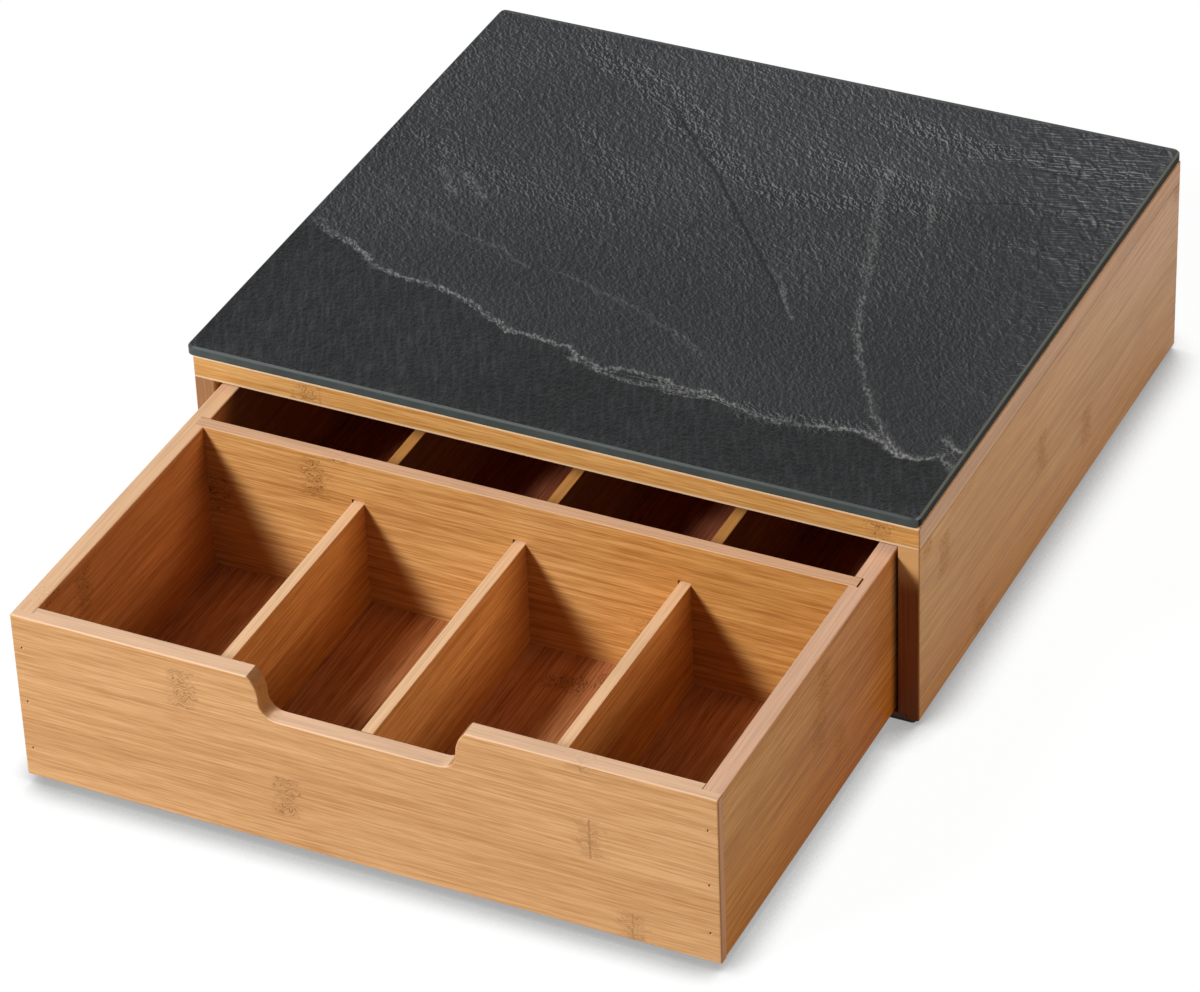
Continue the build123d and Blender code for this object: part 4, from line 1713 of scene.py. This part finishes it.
@dataclass
class Studio:
    """A pale floor, a plain surround and the lamps.

    Attributes:
        floor_size: The side of the floor.
        surround: The strength of the surround's light on the object.
        floor_colour: The floor as the object's surfaces see it.
        floor_glow: The share of white that the camera sees on the floor, shadow or not.
        floor_shadow: The floor's own colour that the camera sees, which takes the shadow.
        contact_reach: How far the painted contact shadow, a soft dark line along the object's foot, reaches.
        contact_fade: Where that painted shadow is darkest and where it ends, in shares of open sky.
        contact_glow: The share of the floor's glow that is left where the painted shadow is darkest.
        lee_reach: How much further the painted shadow reaches on the case's right.
    """

    floor_size: float = 8.0
    surround: float = 0.06
    floor_colour: Colour = (0.50, 0.50, 0.50)
    floor_glow: float = 0.975
    floor_shadow: Colour = (0.055, 0.055, 0.055)
    contact_reach: float = 0.0195
    contact_fade: Span = (0.46, 0.87)
    contact_glow: float = 0.36
    lee_reach: float = 0.0085

    def build(self) -> None:
        """Builds the floor, the surround and the lamps."""
        self._floor()
        self._surround()
        for lamp in self._lamps():
            lamp.hang()

    @staticmethod
    def _seen(graph: Graph) -> bpy.types.NodeSocket:
        """Tells rays that show the background from rays that light the object.

        Args:
            graph: The graph of the floor's or the world's tree.

        Returns:
            1 for camera, glossy and transmission rays, and 0 for others.
        """
        path = graph.node("ShaderNodeLightPath").outputs
        glossy = graph.math("MAXIMUM", path["Is Glossy Ray"], path["Is Transmission Ray"])
        return graph.math("MAXIMUM", path["Is Camera Ray"], glossy)

    def _floor(self) -> None:
        """Lays the floor."""
        half = self.floor_size / 2
        mesh = bpy.data.meshes.new("studio_floor")
        corners = [(-half, -half, 0.0), (half, -half, 0.0), (half, half, 0.0), (-half, half, 0.0)]
        mesh.from_pydata(corners, [], [(0, 1, 2, 3)])
        floor = bpy.data.objects.new("studio_floor", mesh)
        bpy.context.scene.collection.objects.link(floor)
        graph, material = Graph.of_material("studio_floor")
        lighting = graph.call("ShaderNodeBsdfDiffuse", {"Color": (*self.floor_colour, 1.0)})
        shadow = graph.call("ShaderNodeBsdfDiffuse", {"Color": (*self.floor_shadow, 1.0)})
        # Painted contact shadow: ambient occlusion dims the floor's glow near the object, further on the
        # case's right.
        x, y, _ = graph.split(graph.node("ShaderNodeTexCoord").outputs["Object"])
        lee = graph.product(graph.fade(x, 0.10, 0.15), graph.fade(y, -0.09, -0.03))
        reach = graph.math("MULTIPLY_ADD", lee, self.lee_reach, self.contact_reach)
        closeness = graph.call("ShaderNodeAmbientOcclusion", {"Distance": reach}, samples=8)
        open_share = graph.math("MULTIPLY_ADD", graph.fade(closeness.outputs["AO"], *self.contact_fade),
                                1.0 - self.contact_glow, self.contact_glow)
        glow = graph.call("ShaderNodeEmission", {"Strength": graph.product(open_share, self.floor_glow)})
        shown = graph.node("ShaderNodeAddShader")
        graph.feed(shown.inputs[0], shadow.outputs[0])
        graph.feed(shown.inputs[1], glow.outputs[0])
        choice = graph.node("ShaderNodeMixShader")
        graph.feed(choice.inputs[0], self._seen(graph))
        graph.feed(choice.inputs[1], lighting.outputs[0])
        graph.feed(choice.inputs[2], shown.outputs[0])
        output = graph.node("ShaderNodeOutputMaterial")
        graph.feed(output.inputs["Surface"], choice.outputs[0])
        mesh.materials.append(material)
        log.info("floor laid")

    def _surround(self) -> None:
        """Sets the world: white where it shows, weak where it lights."""
        world = bpy.data.worlds.new("studio_surround")
        world.use_nodes = True
        world.node_tree.nodes.clear()
        graph = Graph(world.node_tree)
        strength = graph.math("MULTIPLY_ADD", self._seen(graph), 1.0 - self.surround, self.surround)
        white = (1.0, 1.0, 1.0, 1.0)
        background = graph.call("ShaderNodeBackground", {"Color": white, "Strength": strength})
        output = graph.node("ShaderNodeOutputWorld")
        graph.feed(output.inputs["Surface"], background.outputs[0])
        bpy.context.scene.world = world

    @staticmethod
    def _lamps() -> tuple[Lamp, ...]:
        """The studio's lamps.

        Returns:
            A key lamp in front on the left, a weak warm fill from the right, and a strip that lights only
            the outer right side.
        """
        centre = (0.0, -0.03, 0.05)
        return (
            Lamp("key_lamp", (-0.93, -1.58, 1.30), centre, 0.45, 0.45, 50.0),
            Lamp("warm_right_fill", (1.40, 0.26, 0.66), centre, 0.5, 0.5, 8.5, (1.0, 0.70, 0.50)),
            Lamp("low_right_strip", (0.80, 0.02, 0.035), (0.15, 0.02, 0.045), 1.2, 0.05, 0.6,
                 (1.0, 0.84, 0.66)),
        )


@dataclass
class PhotoCamera:
    """The camera, at the photograph's viewing angle.

    Attributes:
        target: The point in the middle of the picture.
        azimuth: Its turn round the object, in degrees.
        elevation: Its height above the horizon, in degrees.
        roll: Its own lean, in degrees.
        distance: How far it is from the target.
        focal_pixels: The focal length in pixels of the picture.
        picture_width: The picture's width in pixels.
        sensor: The width of its sensor in millimetres.
    """

    target: tuple[float, float, float] = (0.0050, -0.0256, 0.045)
    azimuth: float = 26.405
    elevation: float = 35.116
    roll: float = -2.266
    distance: float = 2.0915
    focal_pixels: float = 5343.5
    picture_width: float = 1200.0
    sensor: float = 36.0

    def place(self) -> None:
        """Sets the camera up and makes it the scene's own."""
        azimuth, elevation, roll = map(math.radians, (self.azimuth, self.elevation, self.roll))
        level = Vector((math.cos(azimuth), math.sin(azimuth), 0.0))
        back = Vector((math.sin(azimuth) * math.cos(elevation), -math.cos(azimuth) * math.cos(elevation),
                       math.sin(elevation)))
        upright = back.cross(level)
        right = level * math.cos(roll) + upright * math.sin(roll)
        up = back.cross(right)
        turn = Matrix((right, up, back)).transposed()
        lens = bpy.data.cameras.new("photo_camera")
        lens.sensor_fit = "HORIZONTAL"
        lens.sensor_width = self.sensor
        lens.lens = self.focal_pixels / self.picture_width * self.sensor
        lens.clip_start = 0.05
        lens.clip_end = 50.0
        camera = bpy.data.objects.new("photo_camera", lens)
        camera.matrix_world = Matrix.Translation(Vector(self.target) + back * self.distance) @ turn.to_4x4()
        bpy.context.scene.collection.objects.link(camera)
        bpy.context.scene.camera = camera
        log.info("camera placed, lens %.1f mm", lens.lens)


def write_sizes() -> None:
    log.info("sizes written")


def main() -> None:
    """Builds and dresses the object, then lights it and sets the camera."""
    logging.basicConfig(level=logging.INFO, format="%(name)s: %(message)s")
    Case("case", GlassPlate(), RubberFeet()).build()
    Drawer().build()
    Studio().build()
    PhotoCamera().place()
    bpy.context.scene.view_settings.view_transform = "Standard"
    write_sizes()


if __name__ == "__main__":
    main()
